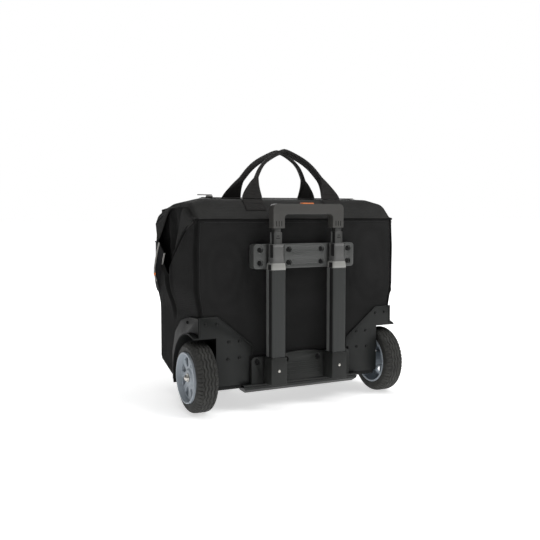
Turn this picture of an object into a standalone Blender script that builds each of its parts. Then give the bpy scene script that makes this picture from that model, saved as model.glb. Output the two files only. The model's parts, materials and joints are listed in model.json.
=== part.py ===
"""Rolling tool bag with a two-stage trolley handle.

Metres, +Z up. +Y is the trolley side (the back), -Y the front with the pocket, and +X the end
on the left when the back is looked at. The origin is the middle of the bounding box at floor
level. Distances from front to back are first measured from the wheels' axle, +Y backwards.
"""

import math

import bmesh
import bpy
from mathutils import Vector

# ---------------------------------------------------------------- driving dimensions
GAP = 0.0003                # between pieces that touch
SINK = 0.0010               # overlap of two shapes that are joined into one piece
OVERSHOOT = 0.0100          # cutters run this far past what they cut
WHEEL_RADIUS = 0.0760
TYRE_WIDTH = 0.0454
TYRE_SHOULDER = 0.0125
RIM_RADIUS = 0.0546
RIM_PROUD = 0.0049          # rim edge outside the tyre's side
RIM_WALL = 0.0040
WHEEL_WINDOWS = 8
WINDOW_SHARE = 0.58         # of the rim's turn that the windows take
WINDOW_TAPER = 0.70
WINDOW_RIM_GAP = 0.0060
WINDOW_HUB_GAP = 0.0090
RIM_DISH = 0.0090           # how far the spokes lie inside the hub's face
SPOKE_DEPTH = 0.0060
HUB_FLARE = 0.0040
HUB_RADIUS = 0.0160
AXLE_RADIUS = 0.0060
AXLE_RUNNING_GAP = 0.0001
BUSH_WALL = 0.0020
BUSH_INSET = 0.0030
NUT_RADIUS = 0.0085
NUT_HEIGHT = 0.0082
NUT_FLANGE = 0.42           # share of the nut's height that is its flange
NUT_DOME = 0.85             # dome radius as a share of the flange's
WHEEL_SIDE_GAP = 0.0073     # tyre to the inner wall of the wheel arch
WHEEL_INSET = 0.0067        # wheel centre inside the bag's end
ARCH_GAP = 0.0166           # tyre tread to the wheel arch
ARCH_WALL = 0.0030
ARCH_LIP = 0.0140           # the arch's lip outside the bag's end

BAG_HALF_WIDTH = 0.2400
BACK_REACH = 0.0335         # from the axle back to the back panel
FRONT_REACH = 0.2280        # from the axle forward to the front panel
BAG_BOTTOM = 0.0480
BACK_SEAM = 0.4120          # height of the back panel's top edge
FRONT_SEAM_RISE = 0.0120    # the front panel's top edge above the back panel's
RIDGE_RISE = 0.0430         # the two ridges above the back panel's top edge
RIDGE_DROP = 0.0100         # the ridges fall by this at the ends
RIDGE_LEVEL = 0.8300        # share of the half width along which the ridges are level
REAR_RIDGE_RUN = 0.0355     # from the back seam forward to the rear ridge
ZIP_REACH = 0.0620          # from the axle forward to the zip
ZIP_RISE = 0.0025           # the zip's height above the ridges
FRONT_RIDGE_RUN = 0.0580    # from the zip forward to the front ridge
PANEL = 0.0040              # thickness of stiffened fabric
SLOPE_STRETCH = 1.3         # a sloping panel's level cut over its thickness
PANEL_FOOT = 0.0100         # the back panel's lower edge above the bag's bottom
NOTCH_DROP = 0.0770         # the end panels' notch below the back panel's top edge
NOTCH_BACK_RUN = 0.0360
NOTCH_BACK_DROP = 0.0080
NOTCH_LOW_RUN = 0.0980
NOTCH_LOW_RISE = 0.0200
NOTCH_FLOOR_RUN = 0.1300
NOTCH_FRONT_RUN = 0.0400
NOTCH_FRONT_RISE = 0.0300
GUSSET_THICKNESS = 0.0130
GUSSET_INSET = 0.0120
GUSSET_TUCK = 0.0100        # gusset below the notch's floor
GUSSET_BACK_DROP = 0.0200
GUSSET_FRONT_DROP = 0.0150
GUSSET_ROOF_GAP = 0.0060
HEM_ROD_RADIUS = 0.0030
HEM_ROD_DROP = 0.0045
HEM_ROD_OFFSET = 0.0060
HEM_ROD_END = 0.0040
ZIP_TAPE_GAP = 0.0008       # half of the gap between the two tapes
ZIP_TAPE_EDGE = 0.0100
ZIP_TAPE_THICKNESS = 0.0010
ZIP_TAPE_END = 0.0020
DIVIDER_SIDE_GAP = 0.0060
DIVIDER_DROP = 0.0350       # divider's top below the notch

TRAY_WALL = 0.0030
AXLE_COVER = 0.0280         # tray's rim above the axle
AXLE_RIB_RISE = 0.0150
AXLE_RIB_FORE = 0.0300
AXLE_RIB_AFT = 0.0200
TRAY_RISE = 0.0300          # the tray's front corner rises by this
TRAY_RISE_RUN = 0.0900      # over this length
BOARD_THICKNESS = 0.0030

POCKET_DEPTH = 0.0300
POCKET_HALF_WIDTH = 0.2000
POCKET_BOTTOM = 0.0900
POCKET_TOP = 0.3200
POCKET_WALL = 0.0030
FLAP_THICKNESS = 0.0030
FLAP_HINGE_RISE = 0.0260    # flap hinge above the pocket's mouth
FLAP_DROP = 0.0520          # flap below the pocket's mouth

GUARD_PLATE = 0.0024
GUARD_TOP = 0.2077
GUARD_FLAT = 0.0404         # length of the guard's level top edge
GUARD_LOW_X = 0.1183
GUARD_LOW_Z = 0.1421
GUARD_END_REACH = 0.1280    # how far forward of the axle the guard's end plate goes
GUARD_END_RIM = ((-0.0165, 0.0040), (-0.0700, 0.0177), (-0.1080, 0.0477))  # behind the axle, below the top
GUARD_END_DROP = 0.0957     # fall of the end plate's rim at its front
GUARD_SIDE_GAP = 0.0025
GUARD_SHELF_GAP = 0.0030

TUBE_SPACING = 0.1510       # between the trolley's two tubes
TUBE_FRONT = 0.0780         # from the axle back to the outer tubes' faces
OUTER_WIDTH = 0.0340
OUTER_DEPTH = 0.0290
OUTER_WALL = 0.0018
OUTER_BOTTOM = 0.0620
OUTER_TOP = 0.3040
MID_WIDTH = 0.0195
MID_DEPTH = 0.0190
MID_WALL = 0.0015
MID_BOTTOM = 0.0665
MID_TOP = 0.3850
INNER_WIDTH = 0.0150
INNER_DEPTH = 0.0150
INNER_WALL = 0.0012
INNER_BOTTOM = 0.0740
SLIDE_GAP = 0.0003
BUSH_HEIGHT = 0.0120
COLLAR_TOP = 0.3600
COLLAR_NECK_WIDTH = 0.0262
COLLAR_NECK_DEPTH = 0.0284
COLLAR_PLAY = 0.0005        # collar outside the tube on each side
COLLAR_FLARE_LOW = 0.08     # the flare's ends as shares of the collar's height
COLLAR_FLARE_HIGH = 0.44
FOOT_WALL = 0.0013
FOOT_TOP = 0.1170
FOOT_FLOOR = 0.0044

UPPER_HALF_WIDTH = 0.1250
UPPER_CORNER = 0.0070
UPPER_LOW = 0.3065
UPPER_HIGH = 0.3595
UPPER_THICKNESS = 0.0225
LOWER_HALF_WIDTH = 0.1240
LOWER_HIGH = 0.1160
LOWER_THICKNESS = 0.0095
LOWER_CORNER = 0.0080
LOWER_DROP = 0.0060         # lower bracket below the outer tubes
LOWER_CROWN = 0.0050        # rise of the lower bracket's middle
CHANNEL_FLOOR = 0.0032      # lower bracket left behind a tube's foot
SKID_BOTTOM = 0.0430
SKID_HALF_WIDTH = 0.1440
SKID_REACH = 0.0460         # from the axle back to the skid's edge
SKID_CHAMFER = 0.0120
SKID_SLOPE = 0.0140         # the skid's bottom edge forward of its upper one
SKID_EDGE = 0.0035          # upright part of the skid's edge
SKID_TUCK = 0.0240          # skid forward of the back panel, under the bag
SKID_TUCK_RISE = 0.0015
BOLT_RECESS = 0.0068
BOLT_RECESS_DEPTH = 0.0040
BOLT_ROW = 0.0140           # bolt rows above and below the upper bracket's middle
BOLT_DROP = 0.0110          # lower bracket's bolts below its top
BOLT_INSIDE = 0.0160        # inner bolts from the tubes' channels

GRIP_OVERHANG = 0.0114      # grip outside the middle of a tube
GRIP_TOP = 0.4450
GRIP_BAR = 0.0222
GRIP_LOW = 0.3933
GRIP_LEG = 0.0270
GRIP_DEPTH = 0.0210
GRIP_CORNER = 0.0100
GRIP_INNER_CORNER = 0.0080
SOCKET_DEPTH = 0.0220
BUTTON_HALF_WIDTH = 0.0140
BUTTON_DEPTH = 0.0130
BUTTON_PROUD = 0.0025
BUTTON_TRAVEL = 0.0040
YOKE_DROP = 0.0110          # yoke's top below the grip's top
YOKE_ROOM = 0.0010
YOKE_HEIGHT = 0.0040
YOKE_DEPTH = 0.0082
ROD_RADIUS = 0.0024
PLUG_BELOW = 0.0040         # lock plug below and above the inner tube's end
PLUG_ABOVE = 0.0120

STRAP_HALF_SPAN = 0.1000
STRAP_RISE = 0.1180
STRAP_FOOT_WIDTH = 0.0480
STRAP_GRIP_WIDTH = 0.0230
STRAP_THICKNESS = 0.0030
STRAP_GRIP_THICKNESS = 0.0080
STRAP_APEX_GAP = 0.0012     # between the two grips where they lean together
STRAP_BOW = 1.25            # 1 for an elliptical loop, more for straighter legs
STRAP_FLAT = 0.0260         # height up to which the webbing is flat
STRAP_FOLD = 0.0260         # rise over which it folds into the grip
STRAP_LEVEL = 0.0200        # rise over which its edges turn with the loop
STRAP_START = 2.0           # degrees round the loop at which it leaves the bag
TAB_START = 0.0085          # sewn-down tab from its handle's pivot
TAB_THICKNESS = 0.0018
STRAP_SEWN = 0.0220         # webbing sewn down below each handle's foot

FRONT_FOOT_REACH = 0.1800
FRONT_FOOT_INNER = 0.0850
FRONT_FOOT_LENGTH = 0.1050
FRONT_FOOT_DEPTH = 0.0300
PAD_MARGIN = 0.0020
PAD_CORNER = 0.0060
FOOT_PAD = 0.0060

END_POCKET_WIDTH = 0.0620
END_POCKET_HEIGHT = 0.0900
END_POCKET_DEPTH = 0.0170
END_POCKET_WALL = 0.0020
END_POCKET_LOW = 0.2680
END_POCKET_REACH = 0.1900
END_POCKET_FOOT = 0.0060    # pocket's bottom and mouth inside its widest part
END_POCKET_MOUTH = 0.0050
END_POCKET_BELLY = 0.30     # share of its height at which it is widest

SLIDER_LENGTH = 0.0140
SLIDER_WIDTH = 0.0080
SLIDER_HEIGHT = 0.0050
SLIDER_INSET = 0.0200       # slider's middle from the end of the level ridge
SLIDER_OFFSET = 0.0055      # slider behind the zip's line
PULL_LENGTH = 0.0340
PULL_WIDTH = 0.0090
PULL_THICKNESS = 0.0020
PULL_PIVOT = 0.0060         # pull's pivot from the slider's middle

SIDE_TAB_BACK = 0.0220
SIDE_TAB_WIDTH = 0.0250
SIDE_TAB_LOW = 0.2360
SIDE_TAB_TIP = 0.2400
SIDE_TAB_HIGH = 0.2720
SIDE_TAB_DEPTH = 0.0090

ROUND = 40                  # sides of the large turned pieces
FINE = 24                   # sides of the small turned pieces

# ---------------------------------------------------------------- derived places
FRONT_MOST = FRONT_REACH + POCKET_DEPTH + FLAP_THICKNESS + 2 * GAP
BACK_MOST = max(WHEEL_RADIUS, TUBE_FRONT + SLIDE_GAP + FOOT_WALL)
AXLE_Y = (FRONT_MOST - BACK_MOST) / 2
AXLE_Z = WHEEL_RADIUS


def from_axle(distance):
    """World Y of a place so far behind the axle; negative is in front of it."""
    return AXLE_Y + distance


BACK_Y = from_axle(BACK_REACH)
FRONT_Y = from_axle(-FRONT_REACH)
ZIP_Y = from_axle(-ZIP_REACH)
REAR_RIDGE_Y = BACK_Y - REAR_RIDGE_RUN
FRONT_RIDGE_Y = ZIP_Y - FRONT_RIDGE_RUN
FRONT_SEAM = BACK_SEAM + FRONT_SEAM_RISE
RIDGE_HEIGHT = BACK_SEAM + RIDGE_RISE
END_NOTCH = BACK_SEAM - NOTCH_DROP
ZIP_Z = RIDGE_HEIGHT + ZIP_RISE
WHEEL_X = BAG_HALF_WIDTH - WHEEL_INSET
ARCH_RADIUS = WHEEL_RADIUS + ARCH_GAP
ARCH_OUTSIDE = ARCH_RADIUS + ARCH_WALL
WELL_X = WHEEL_X - TYRE_WIDTH / 2 - WHEEL_SIDE_GAP
TRAY_HALF_WIDTH = WELL_X - ARCH_WALL - GAP
TRAY_TOP = AXLE_Z + AXLE_COVER
BOARD_TOP = TRAY_TOP + GAP + BOARD_THICKNESS
TUBE_X = TUBE_SPACING / 2
TUBE_Y = from_axle(TUBE_FRONT - OUTER_DEPTH / 2)
TUBE_REAR = TUBE_Y - OUTER_DEPTH / 2 - SLIDE_GAP   # plane just in front of the outer tubes
GRIP_HALF_WIDTH = TUBE_X + GRIP_OVERHANG
BUSH_BORE = AXLE_RADIUS + AXLE_RUNNING_GAP
HUB_BORE = BUSH_BORE + BUSH_WALL + GAP
HUB_FACE = TYRE_WIDTH / 2 - 0.0027
FOOT_BORE_WIDTH = OUTER_WIDTH + 2 * SLIDE_GAP
FOOT_WIDTH = FOOT_BORE_WIDTH + 2 * FOOT_WALL
CHANNEL_WIDTH = FOOT_WIDTH + 2 * GAP
REAR_PIVOT = Vector((0, REAR_RIDGE_Y, RIDGE_HEIGHT + GAP))
FRONT_PIVOT = Vector((0, FRONT_RIDGE_Y, RIDGE_HEIGHT + GAP))
LID_PIVOT = Vector((0, FRONT_Y, FRONT_SEAM + PANEL / 2))
FLAP_PIVOT = Vector((0, FRONT_Y - GAP, POCKET_TOP + FLAP_HINGE_RISE))
ORIGIN = Vector((0, 0, 0))
SIDES = {"left": 1, "right": -1}


# ---------------------------------------------------------------- making meshes
def clear_scene():
    for obj in list(bpy.data.objects):
        bpy.data.objects.remove(obj, do_unlink=True)


def material(name, colour, roughness, metallic=0.0):
    mat = bpy.data.materials.new(name)
    mat.use_nodes = True
    shader = mat.node_tree.nodes["Principled BSDF"]
    shader.inputs["Base Color"].default_value = (*colour, 1)
    shader.inputs["Roughness"].default_value = roughness
    shader.inputs["Metallic"].default_value = metallic
    return mat


def to_object(name, bm, mat=None, pivot=ORIGIN):
    """A new object from world-space geometry, with its origin at the pivot."""
    bmesh.ops.recalc_face_normals(bm, faces=bm.faces)
    bmesh.ops.translate(bm, verts=bm.verts, vec=-Vector(pivot))
    mesh = bpy.data.meshes.new(name)
    bm.to_mesh(mesh)
    bm.free()
    obj = bpy.data.objects.new(name, mesh)
    obj.location = pivot
    bpy.context.scene.collection.objects.link(obj)
    if mat:
        mesh.materials.append(mat)
    return obj


def loft(loops):
    """Closed solid through loops of equally many points, capped at both ends."""
    bm = bmesh.new()
    rings = [[bm.verts.new(p) for p in loop] for loop in loops]
    count = len(rings[0])
    for one, two in zip(rings, rings[1:]):
        for i in range(count):
            j = (i + 1) % count
            bm.faces.new((one[i], one[j], two[j], two[i]))
    bm.faces.new(rings[0])
    bm.faces.new(rings[-1])
    return bm


def prism(axis, outline, low, high):
    """Outline of (y, z), (x, z) or (x, y) points extruded along X, Y or Z."""
    place = {
        "X": lambda p, d: (d, p[0], p[1]),
        "Y": lambda p, d: (p[0], d, p[1]),
        "Z": lambda p, d: (p[0], p[1], d),
    }[axis]
    return loft([[place(p, d) for p in outline] for d in (low, high)])


def block(low, high):
    (x0, y0, z0), (x1, y1, z1) = low, high
    return prism("Z", [(x0, y0), (x1, y0), (x1, y1), (x0, y1)], z0, z1)


def arc(centre, radius, start, end, steps):
    """Points on an arc; angles in degrees, both ends included."""
    turns = [math.radians(start + (end - start) * i / steps) for i in range(steps + 1)]
    return [(centre[0] + radius * math.cos(a), centre[1] + radius * math.sin(a)) for a in turns]


def rounded_rectangle(x0, z0, x1, z1, radius, steps=3):
    return (arc((x1 - radius, z0 + radius), radius, -90, 0, steps)
            + arc((x1 - radius, z1 - radius), radius, 0, 90, steps)
            + arc((x0 + radius, z1 - radius), radius, 90, 180, steps)
            + arc((x0 + radius, z0 + radius), radius, 180, 270, steps))


def turned(profile, centre, sides, ring):
    """Profile of (x, radius) points spun about an X axis; ring closes it into a loop."""
    bm = bmesh.new()
    turns = [2 * math.pi * i / sides for i in range(sides)]
    rows = []
    for x, radius in profile:
        if radius == 0:
            rows.append([bm.verts.new((x + centre[0], centre[1], centre[2]))] * sides)
        else:
            rows.append([bm.verts.new((x + centre[0],
                                       centre[1] + radius * math.cos(a),
                                       centre[2] + radius * math.sin(a))) for a in turns])
    pairs = list(zip(rows, rows[1:]))
    if ring:
        pairs.append((rows[-1], rows[0]))
    for one, two in pairs:
        for i in range(sides):
            j = (i + 1) % sides
            corners = [one[i], one[j], two[j], two[i]]
            bm.faces.new(list(dict.fromkeys(corners)))
    return bm


def rod(low_x, high_x, y, z, radius, sides=FINE):
    """Solid round bar along X."""
    profile = [(low_x, 0), (low_x, radius), (high_x, radius), (high_x, 0)]
    return turned(profile, (0, y, z), sides, ring=False)


def upright(x, y, low, high, radius, sides=FINE):
    """Solid round bar along Z."""
    return prism("Z", arc((x, y), radius, 0, 360 - 360 / sides, sides - 1), low, high)


def combine(obj, pieces, operation):
    """Union or difference of an object with world-space meshes, made final."""
    tools = [to_object(obj.name + "_tool", bm) for bm in pieces]
    for tool in tools:
        modifier = obj.modifiers.new("combine", "BOOLEAN")
        modifier.operation = operation
        modifier.object = tool
    bpy.context.view_layer.update()
    graph = bpy.context.evaluated_depsgraph_get()
    mesh = bpy.data.meshes.new_from_object(obj.evaluated_get(graph))
    obj.modifiers.clear()
    obj.data = mesh
    for tool in tools:
        bpy.data.objects.remove(tool, do_unlink=True)
    return obj


def join(obj, *pieces):
    return combine(obj, pieces, "UNION")


def cut(obj, *pieces):
    return combine(obj, pieces, "DIFFERENCE")


def mirror_x(obj):
    """Turn a left-hand piece into a right-hand one."""
    bm = bmesh.new()
    bm.from_mesh(obj.data)
    bmesh.ops.scale(bm, vec=(-1, 1, 1), verts=bm.verts)
    bmesh.ops.reverse_faces(bm, faces=bm.faces)
    bm.to_mesh(obj.data)
    bm.free()
    obj.location.x = -obj.location.x
    return obj


def smooth(obj):
    obj.data.shade_smooth()
    obj.data.set_sharp_from_angle(angle=math.radians(35))
    return obj


# ---------------------------------------------------------------- shapes shared by pieces
def arch_height(y, radius):
    """Height of the wheel arch's circle at a distance y from the axle."""
    return AXLE_Z + math.sqrt(radius * radius - y * y)


def arch_points(radius, back_y, bottom, steps=14):
    """The wheel arch from its front foot up and back to the plane back_y, as (y, z) points."""
    front = 180 + math.degrees(math.asin((AXLE_Z - bottom) / radius))
    back = math.degrees(math.acos((back_y - AXLE_Y) / radius))
    return arc((AXLE_Y, AXLE_Z), radius, front, back, steps)


def box_tube(width, depth, wall, centre_x, low, high):
    """Rectangular tube as an outer block and the bore to cut from it."""
    hollow_x = width / 2 - wall
    hollow_y = depth / 2 - wall
    outer = block((centre_x - width / 2, TUBE_Y - depth / 2, low),
                  (centre_x + width / 2, TUBE_Y + depth / 2, high))
    bore = block((centre_x - hollow_x, TUBE_Y - hollow_y, low - OVERSHOOT),
                 (centre_x + hollow_x, TUBE_Y + hollow_y, high + OVERSHOOT))
    return outer, bore


def tube_space(width, depth, centre_x, low, high):
    """The block of space that a rectangular tube of this size fills, with its sliding gap."""
    half_x = width / 2 + SLIDE_GAP
    half_y = depth / 2 + SLIDE_GAP
    return block((centre_x - half_x, TUBE_Y - half_y, low), (centre_x + half_x, TUBE_Y + half_y, high))


def roof_z(share):
    """How far the bag's ridges have fallen at a share of its half width."""
    return RIDGE_DROP * max(0.0, abs(share) - RIDGE_LEVEL) / (1 - RIDGE_LEVEL)


def roof(outline):
    """Solid across the bag from a (y, z, falls) outline whose falling points drop at the ends."""
    shares = (-1, -RIDGE_LEVEL, RIDGE_LEVEL, 1)
    return loft([[(s * BAG_HALF_WIDTH, y, z - falls * roof_z(s)) for y, z, falls in outline]
                 for s in shares])


# ---------------------------------------------------------------- the bag's body
def tray_outline(inset, top):
    """Side view of the base tray, moved inwards by a wall."""
    back = BACK_Y - PANEL - GAP - inset
    front = FRONT_Y + PANEL + GAP + inset
    low = BAG_BOTTOM + inset
    return [(back, low), (front + TRAY_RISE_RUN, low), (front, low + TRAY_RISE), (front, top), (back, top)]


def make_base_tray(mat):
    wide = BAG_HALF_WIDTH - PANEL - GAP
    split = AXLE_Y - ARCH_OUTSIDE - GAP
    top = TRAY_TOP
    narrow = prism("X", tray_outline(0, top), -TRAY_HALF_WIDTH, TRAY_HALF_WIDTH)
    tray = to_object("base_tray", narrow, mat)
    shape = tray_outline(0, top)[1:4] + [(split, top), (split, BAG_BOTTOM)]
    join(tray, prism("X", shape, -wide, wide))
    inner = tray_outline(TRAY_WALL, top + OVERSHOOT)
    cut(tray, prism("X", inner, TRAY_WALL - TRAY_HALF_WIDTH, TRAY_HALF_WIDTH - TRAY_WALL))
    low = BAG_BOTTOM + TRAY_WALL
    pocket = inner[1:4] + [(split - TRAY_WALL, inner[3][1]), (split - TRAY_WALL, low)]
    for side in SIDES.values():
        reach = sorted((side * (TRAY_HALF_WIDTH - 2 * TRAY_WALL), side * (wide - TRAY_WALL)))
        cut(tray, prism("X", pocket, *reach))
    for side in SIDES.values():
        x = side * TRAY_HALF_WIDTH / 2
        join(tray, block((x - TRAY_WALL, AXLE_Y - AXLE_RIB_FORE, low - SINK),
                         (x + TRAY_WALL, AXLE_Y + AXLE_RIB_AFT, AXLE_Z + AXLE_RIB_RISE)))
    cut(tray, rod(-wide, wide, AXLE_Y, AXLE_Z, AXLE_RADIUS + GAP))
    return tray


def make_floor_board(mat):
    inner = TRAY_HALF_WIDTH - TRAY_WALL / 2
    wide = BAG_HALF_WIDTH - PANEL - 2 * GAP
    split = AXLE_Y - ARCH_OUTSIDE - 2 * GAP
    back = BACK_Y - PANEL - 2 * GAP
    front = FRONT_Y + PANEL + 2 * GAP
    outline = [(-wide, front), (wide, front), (wide, split), (inner, split), (inner, back),
               (-inner, back), (-inner, split), (-wide, split)]
    return to_object("floor_board", prism("Z", outline, TRAY_TOP + GAP, BOARD_TOP), mat)


def make_back_panel(mat):
    well = TRAY_HALF_WIDTH - GAP
    low = BAG_BOTTOM + PANEL_FOOT
    high = BACK_SEAM - GAP
    over = arch_height(BACK_REACH - PANEL, ARCH_OUTSIDE) + GAP
    outline = [(-well, low), (well, low), (well, over), (BAG_HALF_WIDTH, over), (BAG_HALF_WIDTH, high),
               (-BAG_HALF_WIDTH, high), (-BAG_HALF_WIDTH, over), (-well, over)]
    return to_object("back_panel", prism("Y", outline, BACK_Y - PANEL, BACK_Y), mat)


def make_front_panel(mat):
    low = (-BAG_HALF_WIDTH, FRONT_Y, BAG_BOTTOM + TRAY_RISE)
    high = (BAG_HALF_WIDTH, FRONT_Y + PANEL, FRONT_SEAM - GAP)
    return to_object("front_panel", block(low, high), mat)


def make_end_panel(name, side, mat):
    back = BACK_Y - PANEL - GAP
    front = FRONT_Y + PANEL + GAP
    arch = arch_points(ARCH_OUTSIDE + 2 * GAP, back, BAG_BOTTOM)
    outline = [(front, END_NOTCH + NOTCH_FRONT_RISE), (front, BAG_BOTTOM + TRAY_RISE),
               (front + TRAY_RISE_RUN, BAG_BOTTOM)] + arch
    outline += [(back, BACK_SEAM - GAP), (BACK_Y - NOTCH_BACK_RUN, BACK_SEAM - NOTCH_BACK_DROP),
                (BACK_Y - NOTCH_LOW_RUN, END_NOTCH + NOTCH_LOW_RISE), (BACK_Y - NOTCH_FLOOR_RUN, END_NOTCH),
                (front + NOTCH_FRONT_RUN, END_NOTCH)]
    reach = sorted((side * (BAG_HALF_WIDTH - PANEL), side * BAG_HALF_WIDTH))
    return to_object(name, prism("X", outline, *reach), mat)


def make_gusset(name, side, mat):
    outside = BAG_HALF_WIDTH - PANEL - GAP
    under = RIDGE_HEIGHT - RIDGE_DROP - PANEL - GUSSET_ROOF_GAP
    front = FRONT_Y + GUSSET_INSET
    back = BACK_Y - GUSSET_INSET
    floor = END_NOTCH - GUSSET_TUCK
    outline = [(front, floor), (back, floor), (back, BACK_SEAM - GUSSET_BACK_DROP),
               (REAR_RIDGE_Y - PANEL / 2, under), (FRONT_RIDGE_Y, under),
               (front, FRONT_SEAM - GUSSET_FRONT_DROP)]
    reach = sorted((side * (outside - GUSSET_THICKNESS), side * outside))
    return to_object(name, prism("X", outline, *reach), mat)


def make_shoulder(mat):
    """The fixed rear half of the top, from the back seam over the rear ridge to the zip."""
    edge = ZIP_Y + GAP
    outline = [(BACK_Y, BACK_SEAM, 0), (REAR_RIDGE_Y, RIDGE_HEIGHT, 1), (edge, ZIP_Z, 1),
               (edge, ZIP_Z - PANEL, 1), (REAR_RIDGE_Y - PANEL / 2, RIDGE_HEIGHT - PANEL, 1),
               (BACK_Y - PANEL * SLOPE_STRETCH, BACK_SEAM, 0)]
    return to_object("rear_shoulder", roof(outline), mat)


def make_lid(mat):
    """The front half of the top, which opens about the front seam."""
    edge = ZIP_Y - GAP
    outline = [(FRONT_Y, FRONT_SEAM, 0), (FRONT_Y, FRONT_SEAM + PANEL, 0),
               (FRONT_RIDGE_Y, RIDGE_HEIGHT, 1), (edge, ZIP_Z, 1), (edge, ZIP_Z - PANEL, 1),
               (FRONT_RIDGE_Y, RIDGE_HEIGHT - PANEL, 1)]
    return to_object("lid", roof(outline), mat, LID_PIVOT)


def make_hem_rod(name, offset, mat, pivot):
    y = ZIP_Y + offset
    z = ZIP_Z - PANEL - HEM_ROD_DROP
    half = BAG_HALF_WIDTH * RIDGE_LEVEL - HEM_ROD_END
    return smooth(to_object(name, rod(-half, half, y, z, HEM_ROD_RADIUS, 12), mat, pivot))


def make_zip_tape(name, side, mat, pivot):
    low, high = sorted((ZIP_Y + side * ZIP_TAPE_GAP, ZIP_Y + side * ZIP_TAPE_EDGE))
    half = BAG_HALF_WIDTH * RIDGE_LEVEL - ZIP_TAPE_END
    base = ZIP_Z + GAP
    return to_object(name, block((-half, low, base), (half, high, base + ZIP_TAPE_THICKNESS)), mat, pivot)


def make_tool_divider(mat):
    y = (BACK_Y + FRONT_Y) / 2
    half = TRAY_HALF_WIDTH - DIVIDER_SIDE_GAP
    low = (-half, y - PANEL / 2, BOARD_TOP + GAP)
    return to_object("tool_divider", block(low, (half, y + PANEL / 2, END_NOTCH - DIVIDER_DROP)), mat)


def make_front_pocket(mat):
    outer = FRONT_Y - POCKET_DEPTH
    low = (-POCKET_HALF_WIDTH, outer, POCKET_BOTTOM)
    pocket = to_object("front_pocket", block(low, (POCKET_HALF_WIDTH, FRONT_Y - GAP, POCKET_TOP)), mat)
    inner = POCKET_HALF_WIDTH - POCKET_WALL
    floor = POCKET_BOTTOM + POCKET_WALL
    return cut(pocket, block((-inner, outer + POCKET_WALL, floor),
                             (inner, FRONT_Y - GAP - POCKET_WALL, POCKET_TOP + OVERSHOOT)))


def make_pocket_flap(mat):
    near = FRONT_Y - GAP
    far = FRONT_Y - POCKET_DEPTH - GAP
    t = FLAP_THICKNESS
    top = FLAP_PIVOT.z
    knee = POCKET_TOP + GAP
    tip = POCKET_TOP - FLAP_DROP
    outline = [(near, top), (far - t, knee + t), (far - t, tip), (far, tip), (far, knee), (near, top - t)]
    half = POCKET_HALF_WIDTH + t
    return to_object("pocket_flap", prism("X", outline, -half, half), mat, FLAP_PIVOT)


# ---------------------------------------------------------------- corner guards
def guard_back_outline():
    """Back plate of a guard in (x, z), for the +X side, round its wheel cut-out."""
    inner = LOWER_HALF_WIDTH + GUARD_SIDE_GAP
    low = BAG_BOTTOM + PANEL_FOOT
    outer = BAG_HALF_WIDTH + GAP + GUARD_PLATE
    over = arch_height(BACK_REACH + GUARD_PLATE, ARCH_RADIUS) + SINK
    shelf = LOWER_HIGH + GUARD_SHELF_GAP
    return [(outer, GUARD_TOP), (BAG_HALF_WIDTH - GUARD_FLAT, GUARD_TOP), (GUARD_LOW_X, GUARD_LOW_Z),
            (GUARD_LOW_X, shelf), (inner, shelf), (inner, low), (WELL_X, low), (WELL_X, over), (outer, over)]


def make_guard(name, side, mat):
    def along_x(outline, low, high):
        return prism("X", outline, *sorted((side * low, side * high)))

    back = BACK_Y + GAP + GUARD_PLATE
    plate = [(side * x, z) for x, z in guard_back_outline()]
    guard = to_object(name, prism("Y", plate, BACK_Y + GAP, back), mat)
    inside = back - 2 * GAP
    outer_arch = arch_points(ARCH_OUTSIDE, inside, BAG_BOTTOM)
    inner_arch = arch_points(ARCH_RADIUS, inside, BAG_BOTTOM)
    wall = outer_arch + [(inside, BAG_BOTTOM + PANEL_FOOT + SINK)]
    lip = BAG_HALF_WIDTH + ARCH_LIP
    plate_x = BAG_HALF_WIDTH + GAP
    front = AXLE_Y - GUARD_END_REACH
    rim = [(inside, GUARD_TOP - GAP)] + [(from_axle(run), GUARD_TOP - drop) for run, drop in GUARD_END_RIM]
    rim += [(front, GUARD_TOP - GUARD_END_DROP), (front, BAG_BOTTOM), (front + GUARD_PLATE, BAG_BOTTOM)]
    join(guard,
         along_x(wall, WELL_X - ARCH_WALL, WELL_X),
         along_x(outer_arch + inner_arch[::-1], WELL_X - ARCH_WALL / 2, lip),
         along_x(rim + arch_points(ARCH_RADIUS + SINK, inside, BAG_BOTTOM), plate_x, plate_x + GUARD_PLATE))
    return cut(guard, rod(-BAG_HALF_WIDTH, BAG_HALF_WIDTH, AXLE_Y, AXLE_Z, AXLE_RADIUS + GAP))


# ---------------------------------------------------------------- wheels
def make_tyre(name, side, mat):
    half = TYRE_WIDTH / 2
    bead = RIM_RADIUS + GAP
    crown = arc((half - TYRE_SHOULDER, WHEEL_RADIUS - TYRE_SHOULDER), TYRE_SHOULDER, 0, 90, 3)
    profile = [(-half, bead)] + [(-x, r) for x, r in crown] + crown[::-1] + [(half, bead)]
    centre = (side * WHEEL_X, AXLE_Y, AXLE_Z)
    return smooth(to_object(name, turned(profile, centre, ROUND, ring=True), mat, centre))


def rim_windows(low, high):
    """Cutters for the openings between the spokes."""
    outside = RIM_RADIUS - RIM_WALL - WINDOW_RIM_GAP
    spread = 180 / WHEEL_WINDOWS * WINDOW_SHARE
    windows = []
    for i in range(WHEEL_WINDOWS):
        middle = 360 * (i + 0.5) / WHEEL_WINDOWS
        narrow = spread * WINDOW_TAPER
        outer = arc((AXLE_Y, AXLE_Z), outside, middle - spread, middle + spread, 2)
        inner = arc((AXLE_Y, AXLE_Z), HUB_RADIUS + WINDOW_HUB_GAP, middle + narrow, middle - narrow, 1)
        windows.append(prism("X", outer + inner, low, high))
    return windows


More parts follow.
